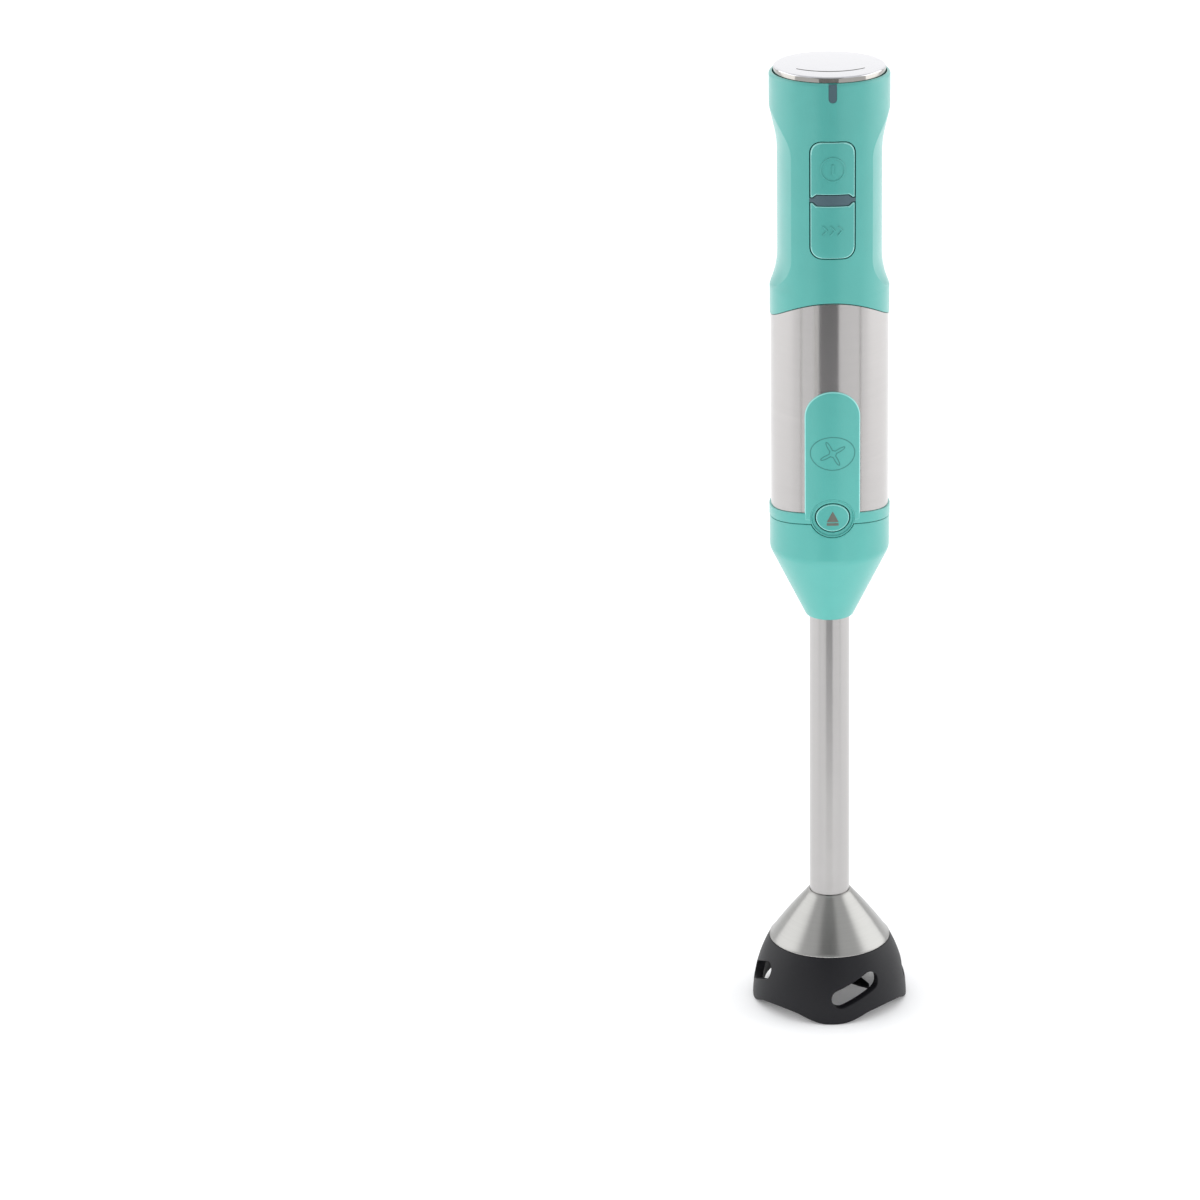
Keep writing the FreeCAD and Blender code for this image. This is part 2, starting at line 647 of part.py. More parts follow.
def make_motor():
    foot = size("can_foot")
    head = size("can_head")
    radius = size("can_radius")
    wall, seat, boss = 1.2, size("coupling_bore"), 6.6
    turned_node("motor_can", [
        (seat, foot - 3.4), (boss, foot - 3.4), (boss, foot), (radius, foot), (radius, head),
        (radius - wall, head), (radius - wall, foot + wall), (seat, foot + wall)])
    magnets = []
    inner, outer = size("core_radius") + 0.8, radius - 1.3
    for turn in (90, 270):
        body = new_body(f"magnet_{turn}")
        turned(body, rectangle(inner, outer, foot + 6.0, foot + 44.0), f"magnet_arc_{turn}", angle=130)
        body.Placement = about_z(turn)
        magnets.append(body)
    node(fused("magnet_pair", magnets), "motor_magnets")
    cap = new_body("end_cap_form")
    hole, inner, cap_foot, cap_head = size("spindle_hole"), radius - 2.0, head + 0.05, head + 15.0
    turned(cap, [(hole, head + 9.0), (inner, head + 9.0), (inner, cap_foot), (radius, cap_foot),
                 (radius, cap_head), (hole, cap_head)], "end_cap_turning")
    node(cap, "motor_end_cap")
    screw_level = number_of(cap_head) + SIZES["press_gap"]
    screws = [cylinder(f"cap_screw_{turn}", 1.8, 1.3, on_circle(11.5, turn, screw_level))
              for turn in (90, 210, 330)]
    node(fused("cap_screw_group", screws), "end_cap_screws")
    holders = []
    brushes = []
    low = size("commutator_level") + 1.0
    for side, holder_x, brush_x in (("left", -15.1, -13.9), ("right", 8.3, 7.4)):
        outer = block(f"holder_{side}", (holder_x, -3.2, low), (6.8, 6.4, 6.6))
        inner = block(f"holder_gap_{side}", (holder_x - 1.0, -2.2, low + 1.0), (8.8, 4.4, 4.6))
        holders.append(cut(f"holder_cut_{side}", outer, inner))
        brushes.append(block(f"brush_{side}", (brush_x, -2.1, low + 1.1), (6.5, 4.2, 4.4)))
    node(fused("holder_pair", holders), "brush_holders")
    node(fused("brush_pair", brushes), "carbon_brushes")
    shaft = size("shaft_radius")
    run = size("running_gap")
    turned_node("lower_bearing", rectangle(shaft + run, 5.0, foot - 3.3, foot + 1.1))
    turned_node("upper_bearing", rectangle(shaft + run, 4.0, head + 9.2, head + 14.8))
    turned_node("lower_mount", rectangle(9.0, 17.0, 238.35, 239.9))
    floor, top = foot - 3.1, head + 17.0
    hold, inside, outside, hole = radius + 0.15, 19.5, 21.1, 12.0
    rib_foot, rib_head = foot + 18.0, foot + 22.0
    for label, turn in (("cradle_right", 0), ("cradle_left", 180)):
        body = new_body(f"{label}_form")
        turned(body, [(hole, floor), (outside, floor), (outside, top), (hold, top), (hold, top - 1.6),
                      (inside, top - 1.6), (inside, rib_head), (hold, rib_head), (hold, rib_foot),
                      (inside, rib_foot), (inside, floor + 1.4), (hole, floor + 1.4)],
               f"{label}_turning", angle=179)
        body.Placement = about_z(turn)
        node(body, label)


def make_rotor():
    shaft = size("shaft_radius")
    press = shaft + size("press_gap")
    node(cylinder("rotor_shaft", shaft, 80.0, (0, 0, 232.0)), "motor_shaft")
    core = new_body("core_form")
    turned(core, rectangle(press, size("core_radius"), 248.0, 282.0), "core_turning")
    slot = pocketed(core, rectangle(10.0, 15.0, -1.0, 1.0), "core_slot", "XY_Plane", 283.0, 36.0)
    repeated(core, slot, "core_slots", 12)
    node(core, "armature_core")
    windings = new_body("winding_form")
    wide, tall = size("winding_wide"), 4.5
    for name, low in (("winding_low", 243.4), ("winding_high", 282.1)):
        high = low + tall
        turned(windings, [(6.0, low + 0.8), (8.0, low), (wide - 1.4, low), (wide, low + 1.6),
                          (wide, high - 1.6), (wide - 1.4, high), (8.0, high), (6.0, high - 0.8)], name)
    copper = [(10.2, -0.9), (12.4, -0.9), (12.4, 0.9), (10.2, 0.9)]
    bar = padded(windings, copper, "winding_bar", "XY_Plane", 247.0, 36.0)
    repeated(windings, bar, "winding_bars", 12)
    node(windings, "armature_windings")
    bars = new_body("commutator_form")
    low = size("commutator_level")
    turned(bars, rectangle(press, 7.0, low, low + 7.4), "commutator_turning")
    slit = pocketed(bars, rectangle(5.6, 8.0, -0.2, 0.2), "commutator_slit", "XY_Plane", 295.0, 6.4)
    repeated(bars, slit, "commutator_slits", 12)
    node(bars, "commutator")
    fan = new_body("fan_form")
    level = size("fan_level")
    turned(fan, rectangle(press, 5.0, level, level + 7.0), "fan_hub")
    turned(fan, rectangle(4.5, size("fan_radius"), level, level + 1.0), "fan_disc")
    vane_tip = size("fan_radius") - 0.3
    vane = padded(fan, rectangle(4.0, vane_tip, -0.6, 0.6), "fan_vane", "XY_Plane", level + 0.5, 6.5)
    repeated(fan, vane, "fan_vanes", 9)
    node(fan, "cooling_fan")
    coupling = new_body("coupling_form")
    turned(coupling, rectangle(0, 6.9, 222.6, 234.9), "coupling_turning")
    pocketed(coupling, rectangle(-3.4, 3.4, -3.4, 3.4), "coupling_socket", "XY_Plane", 231.2, 10.0)
    hole = sketch_on(coupling, "XY_Plane", "coupling_bore_outline", 236.0)
    draw_circle(hole, 0, 0, press)
    bore = coupling.newObject("PartDesign::Pocket", "coupling_bore")
    bore.Profile = hole
    bore.Length = 4.2
    node(coupling, "drive_coupling")


# ---- blending leg ---------------------------------------------------------------------------

def make_leg():
    radius = size("collar_radius")
    inner = radius - size("collar_wall")
    foot = size("collar_foot")
    shoulder = size("shoulder_level")
    hole = size("tube_radius") + size("fit_gap")
    collar = new_body("collar_form")
    neck, head, floor = size("collar_neck"), size("collar_head"), foot + 13.6
    turned(collar, [
        (hole, foot), (neck - 1.1, foot, 1.4), (neck + 0.1, foot + 1.2),
        (radius - 1.7, shoulder - 3.0, 6.6), (radius, shoulder + 3.4), (radius, head),
        (inner, head), (inner, shoulder + 2.0), (12.0, floor), (hole, floor)], "collar_turning")
    node(cut("collar_cut", collar, bezel_notch("collar_notch", -18.8)), "leg_collar")
    spigot, bore = size("spigot_radius"), size("coupling_bore")
    flange, flange_foot, flange_head = inner - 0.2, shoulder + 2.8, shoulder + 5.8
    cup, cup_floor, spigot_head = 12.2, 216.0, 229.5
    turned_node("coupling_spigot", [
        (bore, flange_foot), (flange, flange_foot), (flange, flange_head), (spigot, flange_head),
        (spigot, spigot_head), (cup, spigot_head), (cup, cup_floor), (bore, cup_floor)])
    tube = size("tube_radius")
    tube_bore = tube - size("tube_wall")
    turned_node("shaft_tube", rectangle(tube_bore, tube, size("tube_foot"), size("tube_head")))
    wide = size("guard_head_radius")
    bell_foot = size("bell_foot")
    foot_wall = size("bell_wall") * 1.27
    bell_head, bell_inner = size("bell_head"), tube + size("fit_gap")
    turned_node("steel_bell", [
        (wide - foot_wall, bell_foot), (wide, bell_foot, size("bell_curve")),
        (size("bell_neck"), bell_head), (bell_inner, bell_head), (bell_inner, bell_head - 1.2)])
    hole, boss = size("spindle_hole"), 7.3
    liner_foot, boss_foot, boss_head = bell_foot + 0.1, 22.0, 56.0
    turned_node("bell_liner", [
        (hole, boss_foot), (boss, boss_foot), (boss, 38.0), (21.6, liner_foot),
        (wide - foot_wall - 0.25, liner_foot), (9.7, 44.7), (8.4, 45.9), (boss, 45.9),
        (boss, boss_head), (hole, boss_head)])
    run, bush = size("shaft_radius") + size("running_gap"), size("bush_radius")
    turned_node("shaft_seal", rectangle(run, bush, 22.6, 26.4))
    turned_node("lower_bush", rectangle(run, bush, 28.0, 54.0))
    turned_node("middle_bush", rectangle(run, tube_bore - 0.1, 116.0, 124.0))
    stem, lip, lip_foot, lip_head = 5.0, 7.0, cup_floor + 0.1, cup_floor + 1.0
    turned_node("upper_bush", [(run, 199.0), (stem, 199.0), (stem, lip_foot), (lip, lip_foot),
                               (lip, lip_head), (run, lip_head)])


def rotated_sketch(body, name, level, turn, tilt=0.0):
    """Upright sketch plane through the axis, turned about Z, its own origin at a level."""
    sketch = sketch_on(body, "XZ_Plane", name)
    turning = FreeCAD.Rotation(FreeCAD.Vector(0, 1, 0), turn)
    tilting = FreeCAD.Rotation(FreeCAD.Vector(0, 0, 1), tilt)
    sketch.AttachmentOffset = FreeCAD.Placement(FreeCAD.Vector(0, number_of(level), 0),
                                                turning.multiply(tilting))
    if isinstance(level, Size):
        bind(sketch, ".AttachmentOffset.Base.y", level)
    return sketch


def outward_cut(body, sketch, name):
    feature = body.newObject("PartDesign::Pocket", name)
    feature.Profile = sketch
    feature.Length = 45.0
    feature.Reversed = True
    return feature


def make_guard():
    body = new_body("guard_form")
    foot_radius = size("guard_radius")
    head = size("bell_foot") - 0.1
    wall = size("guard_wall")
    top = size("guard_head_radius") + 0.06
    turned(body, [
        (foot_radius - wall, 0), (foot_radius - 0.4, 0, 0.6), (foot_radius, 0.5, size("guard_curve")),
        (top, head), (top - 3.3, head, -(size("guard_curve") - wall))], "guard_turning")
    # four arches between the feet
    arch = rotated_sketch(body, "arch_outline", 0.0, 45.0)
    spring = size("arch_height") - 1.05
    end, flank, crown = 18.8, 16.3, 10.2
    draw(arch, [(-end, -1.0), (end, -1.0), (end, 0.15, -6.0), (flank, 1.1), (crown, spring, 48.0),
                (-crown, spring), (-flank, 1.1, -6.0), (-end, 0.15)])
    repeated(body, outward_cut(body, arch, "arch_cut"), "arch_cuts", 4)
    # slanted windows, in two opposite pairs
    half_long = size("window_half_long")
    half_wide = size("window_half_wide")
    inner = half_long - half_wide
    for pair in ("front_window", "side_window"):
        window = rotated_sketch(body, f"{pair}_outline", size("window_level"), SIZES[f"{pair}_turn"],
                                SIZES["window_tilt"])
        draw(window, [(-inner, -half_wide), (inner, -half_wide, half_wide), (half_long, 0, half_wide),
                      (inner, half_wide), (-inner, half_wide, half_wide), (-half_long, 0, half_wide)])
        repeated(body, outward_cut(body, window, f"{pair}_cut"), f"{pair}_cuts", 2)
    node(body, "blade_guard")


def make_blade_drive():
    shaft = size("shaft_radius")
    node(cylinder("spindle", shaft, 216.0, (0, 0, 9.0)), "drive_shaft")
    press = shaft + size("press_gap")
    coupling = new_body("dog_form")
    turned(coupling, rectangle(press, 6.5, 218.0, 220.6), "dog_flange")
    padded(coupling, rectangle(-3.0, 3.0, -3.0, 3.0), "dog_square", "XY_Plane", 220.0, 9.6)
    bore = sketch_on(coupling, "XY_Plane", "dog_bore_outline", 225.05)
    draw_circle(bore, 0, 0, press)
    pocket = coupling.newObject("PartDesign::Pocket", "dog_bore")
    pocket.Profile = bore
    pocket.Length = 9.0
    node(coupling, "leg_coupling")
    hub = new_body("hub_form")
    nut, neck, skirt = 4.4, 3.6, 7.2
    nut_head, skirt_head, shaft_foot = 12.7, 21.4, 8.95
    turned(hub, [(0, 7.2), (2.6, 7.2), (nut, 8.8), (nut, nut_head), (neck, nut_head), (neck, 15.7),
                 (5.0, 16.2), (skirt, 19.4), (skirt, skirt_head), (press, skirt_head),
                 (press, shaft_foot), (0, shaft_foot)], "hub_turning")
    node(hub, "blade_hub")
    blade = new_body("blade_form")
    turned(blade, rectangle(3.7, 6.0, 12.8, 15.6), "blade_centre")
    for name, turn, tilt in (("blade_up", 0.0, -9.0), ("blade_down", 90.0, 9.0)):
        sketch = sketch_on(blade, "XY_Plane", f"{name}_outline")
        turning = FreeCAD.Rotation(FreeCAD.Vector(0, 0, 1), SIZES["blade_turn"] + turn)
        tilting = FreeCAD.Rotation(FreeCAD.Vector(0, 1, 0), tilt)
        sketch.AttachmentOffset = FreeCAD.Placement(FreeCAD.Vector(0, 0, SIZES["blade_level"]),
                                                    turning.multiply(tilting))
        tip = size("blade_radius")
        root, root_half = 4.6, 3.8
        draw(sketch, [(root, -root_half), (12.0, -4.6, 26.0), (tip, 0.8), (tip - 0.8, 3.2),
                      (root, root_half)])
        wing = blade.newObject("PartDesign::Pad", name)
        wing.Profile = sketch
        wing.Length = 1.2
        repeated(blade, wing, f"{name}_pair", 2)
    node(blade, "cutting_blade")


# ---- springs --------------------------------------------------------------------------------

def coil_spring(label, radius, wire, turns, y_front, length, level):
    """Coil spring along Y from y_front backwards, bent in short straight steps."""
    steps = 12
    count = int(turns * steps)
    rise = (length - 2 * wire) / count
    corners = []
    for k in range(count + 1):
        angle = 2 * math.pi * k / steps
        corners.append(FreeCAD.Vector(radius * math.cos(angle), radius * math.sin(angle), rise * k))
    spine = doc.addObject("Part::Polygon", f"{label}_spine")
    spine.Nodes = corners
    section = doc.addObject("Part::Circle", f"{label}_section")
    section.Radius = wire
    along = FreeCAD.Rotation(FreeCAD.Vector(0, 0, 1), corners[1] - corners[0])
    section.Placement = FreeCAD.Placement(corners[0], along)
    coil = doc.addObject("Part::Sweep", f"{label}_coil")
    coil.Sections = [section]
    coil.Spine = (spine, [f"Edge{k + 1}" for k in range(count)])
    coil.Solid = True
    coil.Transition = "Right corner"
    coil.Placement = FreeCAD.Placement(FreeCAD.Vector(0, y_front + wire, level), FRONT.inverted())
    node(coil, label)


make_grip_housing()
make_front_inserts()
make_button("power_button", True, size("power_level"))
make_button("turbo_button", False, size("turbo_level"))
make_button_carrier()
make_electrics()
make_dial()
make_sleeve()
make_lower_ring()
make_release()
make_socket()
make_motor()
make_rotor()
make_leg()
make_guard()
make_blade_drive()
spring_front = 0.05 - SIZES["button_back"]
for key in ("power", "turbo"):
    coil_spring(f"{key}_spring", 2.6, 0.2, 3.5, spring_front, 3.2, SIZES[f"{key}_level"])
coil_spring("release_spring", 2.0, 0.2, 4.0, -20.55, 4.05, SIZES["release_level"] + 0.4)

doc.recompute()

# ---- check and write ------------------------------------------------------------------------

faults = [item.Name for item in doc.Objects if {"Invalid", "Error"} & set(item.State)]
faults += [item.Label for item in nodes if item.Shape.isNull() or not item.Shape.isValid()]
if faults:
    raise SystemExit(f"not built: {faults}")
os.makedirs("parts", exist_ok=True)
for item in nodes:
    item.Shape.exportStep(f"parts/{item.Label}.step")
    print(f"{item.Label:20s} solids {len(item.Shape.Solids)} volume {item.Shape.Volume:10.1f}")
print(len(nodes), "nodes")
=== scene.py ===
import math

import bmesh
import bpy
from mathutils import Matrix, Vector, kdtree


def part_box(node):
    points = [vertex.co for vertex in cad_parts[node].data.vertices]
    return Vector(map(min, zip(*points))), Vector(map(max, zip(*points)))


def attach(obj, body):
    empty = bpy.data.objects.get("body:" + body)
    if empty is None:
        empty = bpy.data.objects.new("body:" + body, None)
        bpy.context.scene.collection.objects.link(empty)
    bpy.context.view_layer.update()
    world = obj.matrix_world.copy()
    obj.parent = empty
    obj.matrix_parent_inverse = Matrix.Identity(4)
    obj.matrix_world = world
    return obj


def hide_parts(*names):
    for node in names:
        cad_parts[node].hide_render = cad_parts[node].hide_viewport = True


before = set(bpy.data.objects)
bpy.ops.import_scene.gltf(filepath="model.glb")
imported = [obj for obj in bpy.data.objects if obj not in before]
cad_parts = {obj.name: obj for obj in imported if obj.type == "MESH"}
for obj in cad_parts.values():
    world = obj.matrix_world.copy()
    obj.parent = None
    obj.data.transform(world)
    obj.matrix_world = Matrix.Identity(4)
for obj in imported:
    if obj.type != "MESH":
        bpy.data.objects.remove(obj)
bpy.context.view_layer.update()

# Lengths are millimetres, and meshes are scaled to metres when they are made.
# The studio and the camera, at the end, are in metres throughout.
MM = 0.001
scene = bpy.context.scene


def low(node):
    """Lowest corner of a CAD node's box."""
    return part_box(node)[0] / MM


def high(node):
    """Highest corner of a CAD node's box."""
    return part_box(node)[1] / MM


# ---- sizes read from the frame ---------------------------------------------------------------

GRIP_R = high("grip_housing").x
RIM_Z = high("grip_housing").z
DIAL_R = high("dial_cap").x
DIAL_Z = high("dial_cap").z
DIAL_FOOT_Z = low("dial_cap").z
SLEEVE_R = high("steel_sleeve").x
SLEEVE_FOOT_Z = low("steel_sleeve").z
SLEEVE_TOP_Z = high("steel_sleeve").z
RING_R = high("lower_ring").x
RING_FOOT_Z = high("leg_collar").z + 0.3
RING_HEAD_Z = SLEEVE_FOOT_Z - 0.1
TONGUE_Z = high("lower_ring").z
RELEASE_Z = (low("release_button").z + high("release_button").z) / 2
COLLAR_R = RING_R - 0.2
COLLAR_FOOT_Z = low("leg_collar").z
COLLAR_HEAD_Z = high("leg_collar").z
TUBE_R = high("shaft_tube").x
BELL_FOOT_Z = low("steel_bell").z
BELL_HEAD_Z = high("steel_bell").z
BELL_R = high("steel_bell").x
GUARD_R = high("blade_guard").x
GUARD_HEAD_Z = high("blade_guard").z

# grip
WAIST_HALF = 20.9
WAIST_AXIS = 14.5
WAIST_TOP_Z = 371.0
WAIST_FOOT_Z = 326.0
WAIST_SLOPE = 3.1 / 13.7
WAIST_CURVE = 35.5
CREASE_ANGLE = math.radians(48.0)
ARCH_R = 33.6
COLUMNS = 360

# button panel, its divider and its two buttons
PANEL_HALF = 9.1
PANEL_TOP_Z = 375.6
PANEL_FOOT_Z = 327.9
PANEL_CORNER = 4.8
DIVIDER_Z = 351.8
DIVIDER_HALF = 2.08
DIVIDER_END_HALF = 0.8
DIVIDER_GAP = 0.3
BUTTON_GAP = 0.42
BUTTON_FACE_R = GRIP_R + 0.25
CAP_DEPTH = 3.9
STEM_START_Y = -20.2
STEM_LENGTH = 6.2
POWER_Z = 364.3
TURBO_Z = 339.7

# lower ring and release button: each oval is a half width and a half height
SEAM_DIP = 3.0
TONGUE_HALF = 11.1
BEZEL = (9.0, 8.05)
OPENING = (7.15, 6.2)
RELEASE = (6.72, 5.75)

# guard and blade
GUARD_CURVE = 56.0
GUARD_WALL = 3.6
ARCH_RISE = 4.7
ARCH_CURVE = 48.0
ARCH_HALF = 10.2
FLANK_HEAD = 3.6
FLANK_FOOT = 1.1
FLANK_WIDE = 6.1
WINDOW_TURNS = (18.5, 100.0, 198.5, 280.0)
BLADE_TURN = 35.0


# ---- small geometry helpers ------------------------------------------------------------------

def rounded(corners, steps=5):
    """Closed outline from (x, y, radius) corners, each rounded with an arc of its radius."""
    points = []
    count = len(corners)
    for i, corner in enumerate(corners):
        here = Vector(corner[:2])
        radius = corner[2] if len(corner) > 2 else 0.0
        if radius <= 0:
            points.append(here)
            continue
        before = (Vector(corners[i - 1][:2]) - here).normalized()
        after = (Vector(corners[(i + 1) % count][:2]) - here).normalized()
        half = before.angle(after) / 2
        reach = radius / math.tan(half)
        centre = here + (before + after).normalized() * (radius / math.sin(half))
        first = here + before * reach - centre
        last = here + after * reach - centre
        turn = first.angle(last)
        for k in range(steps + 1):
            share = k / steps
            arm = (first * math.sin((1 - share) * turn) + last * math.sin(share * turn)) / math.sin(turn)
            points.append(centre + arm)
    return [(p.x, p.y) for p in points]


def resampled(outline, spacing):
    """The same closed outline with no edge longer than spacing."""
    points = []
    for (x0, y0), (x1, y1) in zip(outline, outline[1:] + outline[:1]):
        pieces = max(1, math.ceil(math.hypot(x1 - x0, y1 - y0) / spacing))
        points += [(x0 + (x1 - x0) * k / pieces, y0 + (y1 - y0) * k / pieces) for k in range(pieces)]
    return points


def offset(outline, distance):
    """Outline moved outwards by distance along its corners' mean normals (outline is anticlockwise)."""
    moved = []
    count = len(outline)
    for i, point in enumerate(outline):
        here = Vector(point)
        before = here - Vector(outline[i - 1])
        after = Vector(outline[(i + 1) % count]) - here
        if before.length < 1e-6 or after.length < 1e-6:
            before = after = before if before.length > after.length else after
        normals = [Vector((edge.y, -edge.x)).normalized() for edge in (before, after)]
        mean = (normals[0] + normals[1]).normalized()
        stretch = min(1 / max(mean.dot(normals[0]), 0.3), 1.6)
        moved.append(tuple(here + mean * distance * stretch))
    return moved


def build(name, points, faces, body=None, slot=None, material=None, replaces=(), smooth=35.0):
    """Mesh object from points in millimetres; with a body it becomes a piece of the model."""
    mesh = bpy.data.meshes.new(name)
    mesh.from_pydata([Vector(p) * MM for p in points], [], faces)
    mesh.update()
    piece = bpy.data.objects.new(name, mesh)
    scene.collection.objects.link(piece)
    tidy(piece)
    if body:
        finish_piece(piece, body, material, replaces, smooth)
    return piece


def tidy(piece):
    """Merge doubled points, drop empty faces and turn every face outwards."""
    work = bmesh.new()
    work.from_mesh(piece.data)
    bmesh.ops.remove_doubles(work, verts=work.verts, dist=1e-7)
    bmesh.ops.dissolve_degenerate(work, edges=work.edges, dist=1e-8)
    bmesh.ops.recalc_face_normals(work, faces=work.faces)
    work.to_mesh(piece.data)
    work.free()


def finish_piece(piece, body, material, replaces=(), smooth=35.0):
    if not piece.data.materials:
        piece.data.materials.append(material)
    piece.data.materials[0] = material
    shade(piece, smooth)
    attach(piece, body)
    if replaces:
        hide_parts(*replaces)


def shade(piece, angle):
    """Smooth shading, with sharp edges where faces meet at more than angle degrees."""
    mesh = piece.data
    mesh.polygons.foreach_set("use_smooth", [True] * len(mesh.polygons))
    work = bmesh.new()
    work.from_mesh(mesh)
    for edge in work.edges:
        edge.smooth = len(edge.link_faces) != 2 or edge.calc_face_angle(0) < math.radians(angle)
    work.to_mesh(mesh)
    work.free()


def looped(rings):
    """Points and faces of a closed surface whose rings of points are joined round both ways."""
    points = [p for ring in rings for p in ring]
    count, size = len(rings), len(rings[0])
    faces = []
    for i in range(count):
        for j in range(size):
            after, step = (i + 1) % count, (j + 1) % size
            faces.append((i * size + j, after * size + j, after * size + step, i * size + step))
    return points, faces


def shell(name, column, columns=COLUMNS, turned=lambda angle, z: angle, **settings):
    """Closed shell round the axis; column(angle) gives one closed (radius, level) outline.

    turned(angle, z) may shift the columns round the axis, so that they follow a crease.
    """
    rings = []
    for i in range(columns):
        angle = 2 * math.pi * i / columns
        ring = []
        for radius, z in column(angle):
            turn = turned(angle, z)
            ring.append((radius * math.cos(turn), radius * math.sin(turn), z))
        rings.append(ring)
    return build(name, *looped(rings), **settings)


def lathe(name, outline, columns=192, **settings):
    """Closed shell with the same (radius, level) outline all round."""
    return shell(name, lambda angle: outline, columns, **settings)


def on_round(x, z, radius):
    """Point of the front of a vertical cylinder at x and z."""
    return (x, -math.sqrt(max(radius ** 2 - x ** 2, 0.0)), z)


def capped(layers, front_rings, place, centre):
    """Points and faces of a slab: layers of one outline, then shrinking rings to a centre point."""
    rings = layers + front_rings
    size = len(rings[0])
    points = [p for ring in rings for p in ring]
    faces = []
    for i in range(len(rings) - 1):
        for j in range(size):
            step = (j + 1) % size
            faces.append((i * size + j, i * size + step, (i + 1) * size + step, (i + 1) * size + j))
    points.append(place)
    last = (len(rings) - 1) * size
    faces += [(last + j, last + (j + 1) % size, len(points) - 1) for j in range(size)]
    points.append(centre)
    faces += [((j + 1) % size, j, len(points) - 1) for j in range(size)]
    return points, faces


def curved_slab(name, outline, centre, radius, back, edge, dish=0.0, rings=9, edge_highlight=None, **settings):
    """Slab with an outline of (x, z) whose front follows a round of radius, with a rounded edge.

    With a second, paler material given, the rounded edge takes it: a painted highlight along the edge.
    """
    cx, cz = centre
    layers = [[(x, back, z) for x, z in outline]]
    for k in range(5):
        turn = math.pi / 2 * k / 4
        inset = edge * (1 - math.cos(turn))
        level = radius - edge * (1 - math.sin(turn))
        layers.append([on_round(x, z, level) for x, z in offset(outline, -inset)])
    inner = offset(outline, -edge)
    fronts = []
    for k in range(1, rings):
        share = 1 - k / rings
        sunk = radius - dish * (1 - share ** 2)
        fronts.append([on_round(cx + (x - cx) * share, cz + (z - cz) * share, sunk) for x, z in inner])
    front = on_round(cx, cz, radius - dish)
    slab = build(name, *capped(layers, fronts, front, (cx, back, cz)), **settings)
    if edge_highlight:
        paint_edge_highlight(slab, outline, edge, radius, edge_highlight)
    return slab


def paint_edge_highlight(slab, outline, edge, radius, edge_highlight):
    """Give the faces near the slab's outline, at its front, the paler second material: a painted highlight
    along the edge.
    """
    tree = kdtree.KDTree(len(outline))
    for index, (x, z) in enumerate(outline):
        tree.insert((x, z, 0), index)
    tree.balance()
    if not slab.data.materials:
        slab.data.materials.append(None)
    slab.data.materials.append(edge_highlight)
    for face in slab.data.polygons:
        x, y, z = face.center / MM
        near = tree.find((x, z, 0))[2] < edge * 1.1
        if near and math.hypot(x, y) > radius - edge * 1.05:
            face.material_index = 1


def flared_cutter(name, outline, radius, back, flare):
    """Cutter through the round front that leaves a rounded edge along the opening."""
    layers = [[(x, back, z) for x, z in outline]]
    for k in range(5):
        turn = math.radians(75) * k / 4
        out = flare * (1 - math.cos(turn))
        layers.append([on_round(x, z, radius - flare * (1 - math.sin(turn)))
                       for x, z in offset(outline, out)])
    layers.append([on_round(x, z, radius + 1.2) for x, z in offset(outline, flare * 0.75 + 2.6)])
    return build(name, *capped(layers, [], (0, -radius - 1.2, mean_z(outline)),
                               (0, back, mean_z(outline))))


def mean_z(outline):
    return sum(z for _, z in outline) / len(outline)


def carve(piece, cutters):
    """Cut the cutters out of the piece and remove them."""
    for cutter in cutters:
        change = piece.modifiers.new("cut", "BOOLEAN")
        change.operation = "DIFFERENCE"
        change.solver = "EXACT"
        change.object = cutter
    evaluated = piece.evaluated_get(bpy.context.evaluated_depsgraph_get())
    mesh = bpy.data.meshes.new_from_object(evaluated)
    piece.modifiers.clear()
    old = piece.data
    piece.data = mesh
    bpy.data.meshes.remove(old)
    for cutter in cutters:
        bpy.data.objects.remove(cutter)
    tidy(piece)


def joined(name, pieces):
    """One object that holds the meshes of several."""
    work = bmesh.new()
    for piece in pieces:
        work.from_mesh(piece.data)
    mesh = bpy.data.meshes.new(name)
    work.to_mesh(mesh)
    work.free()
    for material in pieces[0].data.materials:
        mesh.materials.append(material)
    for piece in pieces:
        bpy.data.objects.remove(piece)
    whole = bpy.data.objects.new(name, mesh)
    scene.collection.objects.link(whole)
    return whole


# ---- materials -------------------------------------------------------------------------------

